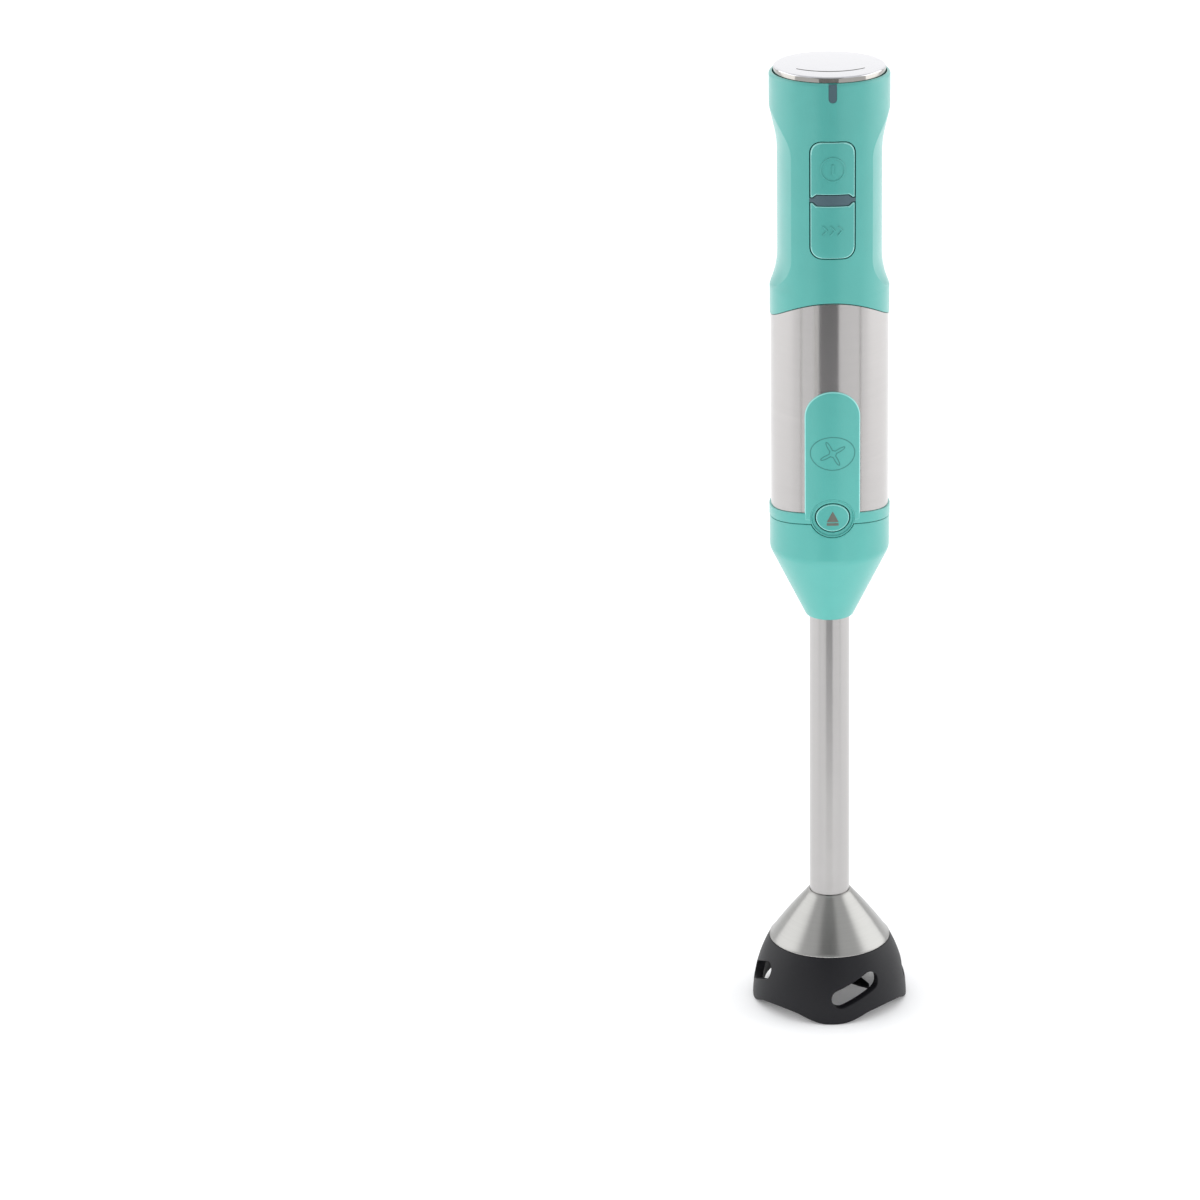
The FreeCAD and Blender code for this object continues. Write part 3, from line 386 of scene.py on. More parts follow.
class Nodes:
    """Short way to build a shader's node tree."""

    def __init__(self, name):
        self.material = bpy.data.materials.new(name)
        self.material.use_nodes = True
        self.tree = self.material.node_tree
        self.shader = self.tree.nodes["Principled BSDF"]

    def add(self, kind, **values):
        item = self.tree.nodes.new(kind)
        for key, value in values.items():
            if key in item.inputs:
                item.inputs[key].default_value = value
            else:
                setattr(item, key, value)
        return item

    def link(self, source, output, target, entry):
        self.tree.links.new(source.outputs[output], target.inputs[entry])

    def coordinates(self, stretch=(1, 1, 1)):
        place = self.add("ShaderNodeTexCoord")
        scale = self.add("ShaderNodeMapping")
        scale.inputs["Scale"].default_value = stretch
        self.link(place, "Object", scale, "Vector")
        return scale

    def noise(self, size, detail=3.0, stretch=(1, 1, 1)):
        """Noise with blobs of about size millimetres."""
        texture = self.add("ShaderNodeTexNoise", Scale=1 / (size * MM), Detail=detail)
        self.link(self.coordinates(stretch), "Vector", texture, "Vector")
        return texture

    def ramp(self, source, output, stops):
        ramp = self.add("ShaderNodeValToRGB")
        while len(ramp.color_ramp.elements) < len(stops):
            ramp.color_ramp.elements.new(0.5)
        for element, (place, colour) in zip(ramp.color_ramp.elements, stops):
            element.position = place
            element.color = (*colour, 1.0)
        self.link(source, output, ramp, "Fac")
        return ramp

    def spread(self, source, output, low_value, high_value, low_in=0.3, high_in=0.7):
        """Map a 0..1 pattern to a range."""
        change = self.add("ShaderNodeMapRange")
        change.inputs["From Min"].default_value = low_in
        change.inputs["From Max"].default_value = high_in
        change.inputs["To Min"].default_value = low_value
        change.inputs["To Max"].default_value = high_value
        self.link(source, output, change, "Value")
        return change

    def bump(self, source, output, height, strength=1.0, before=None):
        bump = self.add("ShaderNodeBump", Strength=strength, Distance=height * MM)
        self.link(source, output, bump, "Height")
        if before:
            self.link(before, "Normal", bump, "Normal")
        return bump


def plastic(name, colour, roughness=0.38, grain=0.35, grain_height=0.004, shift=0.015, sheen=0.0,
            gloss=0.5):
    """Moulded plastic: fine spark-eroded grain, slight waviness and uneven gloss."""
    nodes = Nodes(name)
    tone = nodes.noise(9.0, 4.0)
    lighter = tuple(min(1.0, c * (1 + shift)) for c in colour)
    darker = tuple(c * (1 - shift) for c in colour)
    nodes.link(nodes.ramp(tone, "Fac", [(0.35, darker), (0.65, lighter)]), "Color",
               nodes.shader, "Base Color")
    fine = nodes.noise(grain, 2.0)
    wide = nodes.noise(14.0, 2.0)
    nodes.link(nodes.spread(fine, "Fac", roughness * 0.9, roughness * 1.12), "Result",
               nodes.shader, "Roughness")
    waves = nodes.bump(wide, "Fac", 0.02, 0.25)
    nodes.link(nodes.bump(fine, "Fac", grain_height, 0.6, waves), "Normal", nodes.shader, "Normal")
    nodes.shader.inputs["Specular IOR Level"].default_value = gloss
    if sheen:
        nodes.shader.inputs["Coat Weight"].default_value = sheen
        nodes.shader.inputs["Coat Roughness"].default_value = 0.26
    return nodes.material


def brushed(name, colour, roughness=0.22, anisotropy=0.8):
    """Steel brushed round the axis: fine level lines that smear reflections up and down."""
    nodes = Nodes(name)
    shader = nodes.shader
    shader.inputs["Metallic"].default_value = 1.0
    shader.inputs["Anisotropic"].default_value = anisotropy
    shader.inputs["Anisotropic Rotation"].default_value = 0.25
    lines = nodes.noise(30.0, 4.0, (1, 1, 90))
    blotch = nodes.noise(22.0, 3.0)
    darker = tuple(c * 0.95 for c in colour)
    nodes.link(nodes.ramp(lines, "Fac", [(0.3, darker), (0.7, colour)]), "Color", shader, "Base Color")
    rough = nodes.spread(blotch, "Fac", roughness * 0.92, roughness * 1.1)
    nodes.link(rough, "Result", shader, "Roughness")
    tangent = nodes.add("ShaderNodeTangent", direction_type="RADIAL", axis="Z")
    nodes.link(tangent, "Tangent", shader, "Tangent")
    fine = nodes.noise(20.0, 2.0, (1, 1, 160))
    nodes.link(nodes.bump(fine, "Fac", 0.002, 0.35), "Normal", shader, "Normal")
    return nodes.material


def polished(name, colour, roughness=0.06):
    """Polished plating with a faint cloud of fine wipe marks."""
    nodes = Nodes(name)
    shader = nodes.shader
    shader.inputs["Metallic"].default_value = 1.0
    wipe = nodes.noise(3.0, 6.0, (1, 6, 1))
    paler = tuple(c * 0.97 for c in colour)
    nodes.link(nodes.ramp(wipe, "Fac", [(0.3, paler), (0.7, colour)]), "Color", shader, "Base Color")
    nodes.link(nodes.spread(wipe, "Fac", roughness * 0.7, roughness * 1.5), "Result", shader, "Roughness")
    nodes.link(nodes.bump(nodes.noise(18.0, 2.0), "Fac", 0.01, 0.1), "Normal", shader, "Normal")
    return nodes.material


def machined(name, colour, roughness=0.3, metallic=1.0, line=1.2, shift=0.12):
    """Turned or drawn metal with fine tool marks and uneven tone."""
    nodes = Nodes(name)
    shader = nodes.shader
    shader.inputs["Metallic"].default_value = metallic
    marks = nodes.noise(line, 5.0, (1, 1, 9))
    cloud = nodes.noise(5.0, 4.0)
    darker = tuple(c * (1 - shift) for c in colour)
    nodes.link(nodes.ramp(cloud, "Fac", [(0.35, darker), (0.65, colour)]), "Color", shader, "Base Color")
    nodes.link(nodes.spread(marks, "Fac", roughness * 0.8, roughness * 1.25), "Result", shader, "Roughness")
    nodes.link(nodes.bump(marks, "Fac", 0.006, 0.4), "Normal", shader, "Normal")
    return nodes.material


TEAL = plastic("teal_plastic", (0.074, 0.392, 0.352), 0.34, sheen=0.45)
BUTTON = plastic("button_plastic", (0.070, 0.384, 0.346), 0.34, sheen=0.4)
# Paler copies of the teal and button plastic for rounded edges: painted highlights along the edges.
TEAL_EDGE_HIGHLIGHT = plastic("teal_painted_edge_highlight", (0.26, 0.66, 0.62), 0.34, sheen=0.45)
BUTTON_EDGE_HIGHLIGHT = plastic("button_painted_edge_highlight", (0.26, 0.62, 0.58), 0.34, sheen=0.4)
GREY = plastic("grey_insert", (0.062, 0.115, 0.140), 0.42)
PRINT = plastic("teal_print", (0.038, 0.215, 0.195), 0.45, grain=0.25)
LINE = machined("dial_line", (0.10, 0.098, 0.095), 0.35, line=0.4)
MARK = plastic("mark_print", (0.125, 0.130, 0.110), 0.5, grain=0.25)
GUARD = plastic("guard_plastic", (0.0055, 0.0055, 0.0075), 0.5, grain=0.3, grain_height=0.012,
                gloss=0.32)
BLACK = plastic("black_plastic", (0.010, 0.010, 0.012), 0.45)
WHITE = plastic("white_plastic", (0.60, 0.60, 0.57), 0.42)
RUBBER = plastic("soft_rubber", (0.012, 0.012, 0.013), 0.7, grain=0.5, grain_height=0.01)
BOARD = plastic("board_resin", (0.015, 0.10, 0.035), 0.3, grain=0.8)
FILM = plastic("yellow_film", (0.55, 0.34, 0.03), 0.3)
SLEEVE_STEEL = brushed("sleeve_steel", (0.490, 0.474, 0.466))
BELL_STEEL = brushed("bell_steel", (0.375, 0.372, 0.360), 0.3)
TUBE_STEEL = brushed("tube_steel", (0.49, 0.477, 0.47), 0.24)
CHROME = polished("dial_chrome", (0.63, 0.63, 0.655))
# A darker, warmer copy of the dial chrome for the dial's side: painted shade.
DIAL_SIDE_SHADE = polished("dial_side_painted_shade", (0.42, 0.405, 0.38), 0.08)
# A paler, smoother copy of the bell steel for the bell's lowest edge: a smoother finish, and a painted
# highlight line where the bell meets the guard.
BELL_EDGE_HIGHLIGHT = polished("bell_painted_edge_highlight", (0.66, 0.64, 0.625), 0.25)
STEEL = machined("machined_steel", (0.50, 0.50, 0.50))
BLADE = machined("blade_steel", (0.27, 0.27, 0.28), 0.33, line=0.8)
BRASS = machined("brass", (0.60, 0.42, 0.16))
COPPER = machined("copper", (0.62, 0.26, 0.12), 0.35, line=0.6)
FERRITE = machined("ferrite", (0.05, 0.05, 0.055), 0.55, metallic=0.2)


# ---- grip ------------------------------------------------------------------------------------

def soft_min(a, b, blend):
    """The lower of two values, rounded over where they differ by less than blend."""
    near = max(blend - abs(a - b), 0.0) / blend
    return min(a, b) - near * near * blend / 4


def side_half(z):
    """Half width of the waisted side faces at a level."""
    above = (z - WAIST_TOP_Z) * WAIST_SLOPE
    head = -soft_min(0.0, -above, 0.9)
    drop = min(max(WAIST_FOOT_Z - z, 0.0), WAIST_CURVE * 0.7)
    foot = WAIST_CURVE - math.sqrt(WAIST_CURVE ** 2 - drop ** 2)
    return WAIST_HALF + head + foot


def crease_angle(z):
    """Angle from the side at which the waisted side face meets the round."""
    half = side_half(z) + WAIST_AXIS
    cosine = (half ** 2 - WAIST_AXIS ** 2 - GRIP_R ** 2) / (2 * WAIST_AXIS * GRIP_R)
    return math.acos(min(cosine, 1.0))


def along_crease(angle, z):
    """Shift a column of the grip so that the columns at CREASE_ANGLE run along the crease."""
    crease = max(crease_angle(z), CREASE_ANGLE / 6)
    quarter = math.pi / 2
    turn = angle % quarter
    mirrored = int(angle // quarter) % 2 == 1
    if mirrored:
        turn = quarter - turn
    if turn < CREASE_ANGLE:
        moved = turn * crease / CREASE_ANGLE
    else:
        moved = crease + (turn - CREASE_ANGLE) * (quarter - crease) / (quarter - CREASE_ANGLE)
    start = angle // quarter * quarter
    return start + (quarter - moved if mirrored else moved)


def grip_radius(angle, z, inset=0.0):
    """Outside radius of the grip at a column and a level, less an inset."""
    turn = along_crease(angle, z)
    half = side_half(z) + WAIST_AXIS
    across = abs(math.cos(turn))
    side = math.sqrt(half ** 2 - (WAIST_AXIS * math.sin(turn)) ** 2) - WAIST_AXIS * across
    return min(GRIP_R, side) - inset


def arch_level(top, radius, angle):
    """Level of the arched seam under the grip, highest at the front and the back."""
    x = radius * math.cos(angle)
    return top - (ARCH_R - math.sqrt(ARCH_R ** 2 - x ** 2))


def seam_dip(angle):
    """How far the edges of the lower ring drop towards its two sides."""
    return SEAM_DIP * math.cos(angle) ** 2


def panel_outline(half, foot, head, corner):
    return resampled(rounded([(-half, foot, corner), (half, foot, corner), (half, head, corner),
                              (-half, head, corner)], 9), 0.8)


def index_outline(half, foot, head):
    return resampled(rounded([(-half, foot, half * 0.98), (half, foot, half * 0.98), (half, head),
                              (-half, head)], 8), 0.6)


def make_grip():
    top = SLEEVE_TOP_Z + 0.1
    wall = 2.6
    well = DIAL_R + 0.4
    deck = DIAL_FOOT_Z - 0.7
    rows = 88

    def column(angle):
        foot = arch_level(top, GRIP_R, along_crease(angle, top))
        crest = RIM_Z - 1.25
        outline = [(grip_radius(angle, foot, 0.9), foot), (grip_radius(angle, foot, 0.25), foot),
                   (grip_radius(angle, foot, 0.07), foot + 0.09)]
        for k in range(rows + 1):
            z = foot + 0.3 + (crest - foot - 0.3) * k / rows
            outline.append((grip_radius(angle, z), z))
        for k in range(1, 9):
            turn = math.pi / 2 * k / 8
            outline.append((GRIP_R - 1.1 * (1 - math.cos(turn)), crest + 1.25 * math.sin(turn)))
        outline += [(well + 0.12, RIM_Z), (well, RIM_Z - 0.12), (well, deck), (6.5, deck),
                    (6.5, deck - 2.4)]
        for k in range(20):
            z = deck - 2.4 + (foot + 0.5 - deck + 2.4) * k / 19
            outline.append((grip_radius(angle, z, wall), z))
        outline.append((grip_radius(angle, foot, wall), foot))
        return outline

    grip = shell("grip_shell", column, turned=along_crease)
    panel = flared_cutter("panel_cutter", panel_outline(PANEL_HALF, PANEL_FOOT_Z, PANEL_TOP_Z,
                                                        PANEL_CORNER), GRIP_R, -15.0, 0.15)
    slot = flared_cutter("slot_cutter", index_outline(1.625, RIM_Z - 7.6, RIM_Z + 2.0), GRIP_R,
                         -22.95, 0.2)
    gland = low("cord_gland").z + high("cord_gland").z
    hole = disc_cutter("gland_cutter", 6.1, gland / 2, 16.0, 30.0)
    carve(grip, [panel, slot, hole])
    finish_piece(grip, "motor_unit", TEAL, ["grip_housing"], smooth=13.0)


def disc_cutter(name, radius, level, y_low, y_high):
    """Round bar along Y used as a cutter."""
    ring = [(radius * math.cos(2 * math.pi * k / 48), radius * math.sin(2 * math.pi * k / 48) + level)
            for k in range(48)]
    layers = [[(x, y_low, z) for x, z in ring], [(x, y_high, z) for x, z in ring]]
    return build(name, *capped(layers, [], (0, y_high, level), (0, y_low, level)))


def button_outline(upper):
    half = PANEL_HALF - BUTTON_GAP
    corner = PANEL_CORNER - BUTTON_GAP
    way = 1 if upper else -1
    edge = DIVIDER_Z + (DIVIDER_END_HALF + DIVIDER_GAP) * way
    notch = DIVIDER_Z + (DIVIDER_HALF + DIVIDER_GAP) * way
    far = PANEL_TOP_Z - BUTTON_GAP if upper else PANEL_FOOT_Z + BUTTON_GAP
    corners = [(-half, edge, 0.3), (-7.95, edge, 0.4), (-6.4, notch, 0.4), (6.4, notch, 0.4),
               (7.95, edge, 0.4), (half, edge, 0.3), (half, far, corner), (-half, far, corner)]
    return resampled(rounded(corners if upper else corners[::-1], 8), 0.8)


def make_button(name, body, upper, level):
    """Cap with the stem behind it, as one piece on its key's body."""
    outline = button_outline(upper)
    # The cap's rounded edge takes a paler copy of the plastic: a painted highlight.
    cap = curved_slab(f"{name}_cap", outline, (0, mean_z(outline)), BUTTON_FACE_R,
                      low(name).y + CAP_DEPTH, 0.5, dish=0.1, edge_highlight=BUTTON_EDGE_HIGHLIGHT)
    stem = lathe(f"{name}_stem", rounded([(0.2, 0, 0), (1.8, 0, 0), (1.8, STEM_LENGTH, 0),
                                          (0.2, STEM_LENGTH, 0)]), 32)
    for vertex in stem.data.vertices:
        x, y, z = vertex.co
        vertex.co = (x, STEM_START_Y * MM + z, level * MM + y)
    finish_piece(joined(f"{name}_key", [cap, stem]), body, BUTTON, [name])


def raised(name, outline, centre, face, body, material, slot, height):
    """Low relief standing on a round face."""
    return curved_slab(name, resampled(outline, 0.5), centre, face + height, -(face - 0.9), 0.12,
                       rings=3, body=body, slot=slot, material=material)


def make_power_mark():
    """Raised power sign: a circle line round a short upright bar."""
    face = BUTTON_FACE_R - 0.1
    outer, inner = 5.0, 4.45
    profile = [(outer, -0.6), (outer, 0.25), (outer - 0.06, 0.3), (inner + 0.06, 0.3),
               (inner, 0.25), (inner, -0.6)]
    rings = []
    for i in range(72):
        angle = 2 * math.pi * i / 72
        rings.append([on_round(r * math.cos(angle), POWER_Z + r * math.sin(angle), face + lift)
                      for r, lift in profile])
    build("power_mark_ring", *looped(rings), body="power_key", slot="button_plastic", material=BUTTON)
    half, tall, corner = 0.4, 2.1, 0.38
    bar = rounded([(-half, POWER_Z - tall, corner), (half, POWER_Z - tall, corner),
                   (half, POWER_Z + tall, corner), (-half, POWER_Z + tall, corner)], 4)
    raised("power_mark_bar", bar, (0, POWER_Z), face, "power_key", BUTTON, "button_plastic", 0.4)


def make_turbo_marks():
    """Three raised chevrons in a row."""
    half_tall = 1.9
    for index, x in enumerate((-3.0, 0.0, 3.0)):
        chevron = [(x - 1.3, TURBO_Z - half_tall, 0.1), (x - 0.6, TURBO_Z - half_tall, 0.1),
                   (x + 1.2, TURBO_Z, 0.15), (x - 0.6, TURBO_Z + half_tall, 0.1),
                   (x - 1.3, TURBO_Z + half_tall, 0.1), (x + 0.5, TURBO_Z, 0.1)]
        raised(f"turbo_mark_{index}", rounded(chevron, 3), (x + 0.85, TURBO_Z), BUTTON_FACE_R - 0.1,
               "turbo_key", BUTTON, "button_plastic", 0.38)


def make_buttons():
    make_button("power_button", "power_key", True, POWER_Z)
    make_button("turbo_button", "turbo_key", False, TURBO_Z)
    make_power_mark()
    make_turbo_marks()


def make_inserts():
    half = PANEL_HALF - 0.05
    low_z, high_z = DIVIDER_Z - DIVIDER_END_HALF, DIVIDER_Z + DIVIDER_END_HALF
    foot, head = DIVIDER_Z - DIVIDER_HALF, DIVIDER_Z + DIVIDER_HALF
    divider = [(-half, low_z), (-7.65, low_z, 0.3), (-6.25, foot, 0.3), (6.25, foot, 0.3),
               (7.65, low_z, 0.3), (half, low_z), (half, high_z), (7.65, high_z, 0.3),
               (6.25, head, 0.3), (-6.25, head, 0.3), (-7.65, high_z, 0.3), (-half, high_z)]
    curved_slab("divider_bar", resampled(rounded(divider, 4), 0.7), (0, DIVIDER_Z), GRIP_R - 0.05,
                -17.0, 0.15, body="motor_unit", slot="grey_insert", material=GREY,
                replaces=["button_divider"])
    index = index_outline(1.575, RIM_Z - 7.55, RIM_Z - 0.35)
    curved_slab("index_mark", index, (0, RIM_Z - 4.0), GRIP_R - 0.05, -22.95, 0.15,
                body="motor_unit", slot="grey_insert", material=GREY, replaces=["dial_index"])


def make_dial():
    outline = [(0.02, DIAL_Z), (DIAL_R * 0.35, DIAL_Z - 0.03), (DIAL_R * 0.7, DIAL_Z - 0.14),
               (DIAL_R - 1.2, DIAL_Z - 0.28)]
    for k in range(1, 7):
        turn = math.pi / 2 * k / 6
        outline.append((DIAL_R - 0.7 * (1 - math.sin(turn)), DIAL_Z - 0.3 - 0.7 * (1 - math.cos(turn))))
    outline += [(DIAL_R, DIAL_FOOT_Z + 0.1), (DIAL_R - 0.1, DIAL_FOOT_Z), (DIAL_R - 1.4, DIAL_FOOT_Z),
                (DIAL_R - 1.4, DIAL_Z - 1.8), (0.02, DIAL_Z - 1.6)]
    dial = lathe("dial_top", outline, body="speed_dial", slot="polished_chrome", material=CHROME,
                 replaces=["dial_cap"], smooth=40)
    # The side faces take the darker copy of the chrome: painted shade on the side.
    dial.data.materials.append(DIAL_SIDE_SHADE)
    for face in dial.data.polygons:
        if face.center.z < (DIAL_Z - 0.9) * MM:
            face.material_index = 1


def make_dial_line():
    """Thin arc line near the front of the dial, tapered to its ends."""
    radius, centre, half_turn, steps = 19.3, 6.1, math.radians(44), 48
    rings = []
    for k in range(steps + 1):
        turn = -half_turn + 2 * half_turn * k / steps
        wide = 0.06 + 0.22 * math.cos(turn / half_turn * math.pi / 2)
        rings.append([((radius + reach) * math.sin(turn), centre - (radius + reach) * math.cos(turn), z)
                      for reach, z in ((-wide, DIAL_Z - 0.5), (wide, DIAL_Z - 0.5),
                                       (wide, DIAL_Z - 0.02), (-wide, DIAL_Z - 0.02))])
    points = [p for ring in rings for p in ring]
    faces = [(4 * k + j, 4 * k + (j + 1) % 4, 4 * k + 4 + (j + 1) % 4, 4 * k + 4 + j)
             for k in range(steps) for j in range(4)]
    faces += [(0, 1, 2, 3), tuple(4 * steps + j for j in range(4))]
    build("dial_arc_line", points, faces, body="speed_dial", slot="polished_chrome", material=LINE)


# ---- sleeve, ring, release button -------------------------------------------------------------

def make_sleeve():
    wall = 0.6

    def column(angle):
        head = arch_level(SLEEVE_TOP_Z - 0.2, SLEEVE_R, angle)
        foot = SLEEVE_FOOT_Z - seam_dip(angle)
        rows = 24
        outer = [(SLEEVE_R, foot + 0.2 + (head - foot - 0.4) * k / rows) for k in range(rows + 1)]
        return ([(SLEEVE_R - wall, foot), (SLEEVE_R - 0.12, foot), (SLEEVE_R, foot + 0.1)] + outer
                + [(SLEEVE_R, head - 0.1), (SLEEVE_R - 0.12, head), (SLEEVE_R - wall, head)])

    sleeve = shell("sleeve_band", column, 240)
    carve(sleeve, [flared_cutter("sleeve_notch", oval(*BEZEL), SLEEVE_R, -18.0, 0.05)])
    finish_piece(sleeve, "motor_unit", SLEEVE_STEEL, ["steel_sleeve"])


def oval(half_wide, half_tall, steps=96):
    return [(half_wide * math.cos(2 * math.pi * k / steps),
             RELEASE_Z + half_tall * math.sin(2 * math.pi * k / steps)) for k in range(steps)]


def make_ring():
    section = rounded([(21.4, RING_FOOT_Z, 0), (RING_R - 0.02, RING_FOOT_Z, 0.25),
                       (RING_R - 0.02, RING_HEAD_Z, 0.35), (21.4, RING_HEAD_Z, 0)])
    band = shell("ring_band", lambda angle: [(r, z - seam_dip(angle)) for r, z in section], 240)
    base = TONGUE_Z - TONGUE_HALF
    arc = [(TONGUE_HALF * math.cos(math.pi * k / 40), base + TONGUE_HALF * math.sin(math.pi * k / 40))
           for k in range(41)]
    foot = [(-TONGUE_HALF, RING_FOOT_Z + 1.0), (TONGUE_HALF, RING_FOOT_Z + 1.0)]
    outline = resampled(foot + arc, 0.4)
    # The tongue's rounded edge takes a paler teal: a painted highlight.
    tongue = curved_slab("tongue", outline, (0, (base + RING_FOOT_Z) / 2 + 8), RING_R, -21.0, 0.42,
                         edge_highlight=TEAL_EDGE_HIGHLIGHT)
    bezel_half = BEZEL[0] - 0.03, BEZEL[1] - 0.03
    cutters = [flared_cutter(f"bezel_cutter_{k}", oval(*bezel_half), RING_R + 0.3, -17.0, 0.1)
               for k in range(2)]
    carve(band, cutters[:1])
    carve(tongue, cutters[1:])
    whole = joined("ring_with_tongue", [tongue, band, make_bezel()])
    finish_piece(whole, "motor_unit", TEAL, ["lower_ring"])


def closed_line(name, path, half_line, face, body, material, slot, height=0.06):
    """Thin printed line that follows a closed path of (x, z) on a round face."""
    outer, inner = offset(path, half_line), offset(path, -half_line)
    loops = []
    for (ox, oz), (ix, iz) in zip(outer, inner):
        loops.append([on_round(ox, oz, face - 0.3), on_round(ox, oz, face + height),
                      on_round(ix, iz, face + height), on_round(ix, iz, face - 0.3)])
    build(name, *looped(loops), body=body, material=material, slot=slot)


def make_tongue_mark():
    """Generic printed mark: a ring round a four-winged blade outline."""
    level = 247.7
    face = RING_R - 0.04
    ring = [(8.9 * math.cos(a), level + 6.9 * math.sin(a))
            for a in (2 * math.pi * k / 90 for k in range(90))]
    closed_line("mark_ring", ring, 0.2, face, "motor_unit", PRINT, "grey_insert")
    wings = []
    for k in range(160):
        a = 2 * math.pi * k / 160
        reach = 1.4 + 4.1 * (0.5 + 0.5 * math.cos(4 * a + 0.9 * math.sin(4 * a))) ** 1.5
        wings.append((reach * math.cos(a + 0.5), level + reach * math.sin(a + 0.5)))
    closed_line("mark_blade", wings, 0.2, face, "motor_unit", PRINT, "grey_insert")


def make_bezel():
    """Dished oval frame round the release button."""
    section = [(0.0, 19.6), (0.0, RING_R - 0.3), (0.08, RING_R - 0.08), (0.2, RING_R),
               (0.36, RING_R - 0.02), (0.44, RING_R - 0.14), (0.52, RING_R - 0.6),
               (0.62, RING_R - 0.72), (0.95, RING_R - 0.7), (1.3, RING_R - 0.74),
               (1.5, RING_R - 0.8), (1.57, RING_R - 0.87), (1.6, RING_R - 1.0), (1.6, 19.6)]
    rings = []
    steps = 120
    for k in range(steps):
        angle = 2 * math.pi * k / steps
        ring = []
        for inset, level in section:
            share = inset / 1.6
            wide = BEZEL[0] + (OPENING[0] - BEZEL[0]) * share
            tall = BEZEL[1] + (OPENING[1] - BEZEL[1]) * share
            ring.append(on_round(wide * math.cos(angle), RELEASE_Z + tall * math.sin(angle), level))
        rings.append(ring)
    return build("bezel", *looped(rings))


def make_release():
    face = 24.0
    # The cap's rounded edge takes a paler copy of the plastic: a painted highlight.
    curved_slab("release_cap", oval(*RELEASE), (0, RELEASE_Z), face, -20.7, 0.45, dish=0.1,
                edge_highlight=BUTTON_EDGE_HIGHLIGHT, body="release_latch", slot="button_plastic", material=BUTTON,
                replaces=["release_button"])
    triangle = rounded([(-2.5, RELEASE_Z - 1.83, 0.15), (2.5, RELEASE_Z - 1.83, 0.15),
                        (0, RELEASE_Z + 2.9, 0.2)], 3)
    raised("release_mark_arrow", triangle, (0, RELEASE_Z - 0.3), face - 0.1, "release_latch", MARK,
           "grey_insert", 0.08)
    bar = rounded([(-2.45, RELEASE_Z - 3.3, 0.1), (2.45, RELEASE_Z - 3.3, 0.1),
                   (2.45, RELEASE_Z - 2.15, 0.1), (-2.45, RELEASE_Z - 2.15, 0.1)], 3)
    raised("release_mark_bar", bar, (0, RELEASE_Z - 2.72), face - 0.1, "release_latch", MARK,
           "grey_insert", 0.08)


# ---- leg -------------------------------------------------------------------------------------

def make_collar():
    foot, head = COLLAR_FOOT_Z, COLLAR_HEAD_Z
    shoulder = 200.6
    neck = 10.2
    inner = COLLAR_R - 2.4
    hole = TUBE_R + 0.1
    outline = rounded([(hole, foot, 0.1), (neck - 0.5, foot, 0.9), (COLLAR_R, shoulder + 0.3, 7.0),
                       (COLLAR_R, head, 0.3), (inner, head, 0.2), (inner, shoulder + 2.0, 0),
                       (12.0, foot + 13.6, 0), (hole, foot + 13.6, 0)], 12)
    outline = resampled(outline, 2.0)

    def column(angle):
        drop = seam_dip(angle) / (head - shoulder)
        return [(r, z - drop * max(z - shoulder, 0.0)) for r, z in outline]

    collar = shell("collar_shell", column, 240)
    carve(collar, [flared_cutter("notch_cutter", oval(BEZEL[0] + 0.3, BEZEL[1] + 0.3), COLLAR_R,
                                 -18.8, 0.2)])
    finish_piece(collar, "blending_leg", TEAL, ["leg_collar"])


def make_tube():
    foot, head = low("shaft_tube").z, high("shaft_tube").z
    outline = rounded([(TUBE_R - 0.8, foot, 0.1), (TUBE_R, foot, 0.15), (TUBE_R, head, 0.15),
                       (TUBE_R - 0.8, head, 0.1)], 3)
    lathe("tube_skin", resampled(outline, 6.0), 128, body="blending_leg", slot="brushed_steel",
          material=TUBE_STEEL, replaces=["shaft_tube"])


def bell_radius(z):
    """Outside radius of the steel bell: a straight cone with a slight bulge."""
    share = (z - BELL_FOOT_Z) / (BELL_HEAD_Z - BELL_FOOT_Z)
    neck = 8.8
    return BELL_R + (neck - BELL_R) * share + 0.55 * math.sin(math.pi * share)


def make_bell():
    rows = 24
    foot, head = BELL_FOOT_Z, BELL_HEAD_Z
    outline = [(BELL_R - 1.25, foot), (BELL_R - 0.25, foot), (BELL_R - 0.05, foot + 0.1),
               (BELL_R, foot + 0.3), (bell_radius(foot + 0.55), foot + 0.55)]
    for k in range(1, rows + 1):
        z = foot + 0.55 + (head - foot - 0.7) * k / rows
        outline.append((bell_radius(z), z))
    outline += [(8.62, head), (TUBE_R + 0.1, head), (TUBE_R + 0.1, head - 1.2)]
    bell = lathe("bell_skin", outline, 240, body="blending_leg", slot="brushed_steel",
                 material=BELL_STEEL, replaces=["steel_bell"])
    # The lowest faces take the paler copy of the steel: a painted highlight line where the bell meets the
    # guard.
    bell.data.materials.append(BELL_EDGE_HIGHLIGHT)
    for face in bell.data.polygons:
        if face.center.z < (foot + 0.4) * MM:
            face.material_index = 1


def guard_radius(z, inset=0.0):
    """Outside radius of the guard, which curves in towards its head, less an inset."""
    curve = GUARD_CURVE - inset
    return GUARD_R - inset - (curve - math.sqrt(curve ** 2 - z ** 2))


def guard_foot(angle, radius):
    """Level of the guard's lower edge: feet on the axes, arches between them."""
    turn = (angle % (math.pi / 2)) - math.pi / 4
    across = abs(radius * math.sin(turn))
    if across < ARCH_HALF:
        return ARCH_RISE - (ARCH_CURVE - math.sqrt(ARCH_CURVE ** 2 - across ** 2))
    flank = FLANK_HEAD - (across - ARCH_HALF) * (FLANK_HEAD - FLANK_FOOT) / FLANK_WIDE
    return -soft_min(-max(flank, -2.0), 0.0, 1.4) if flank < 1.2 else flank


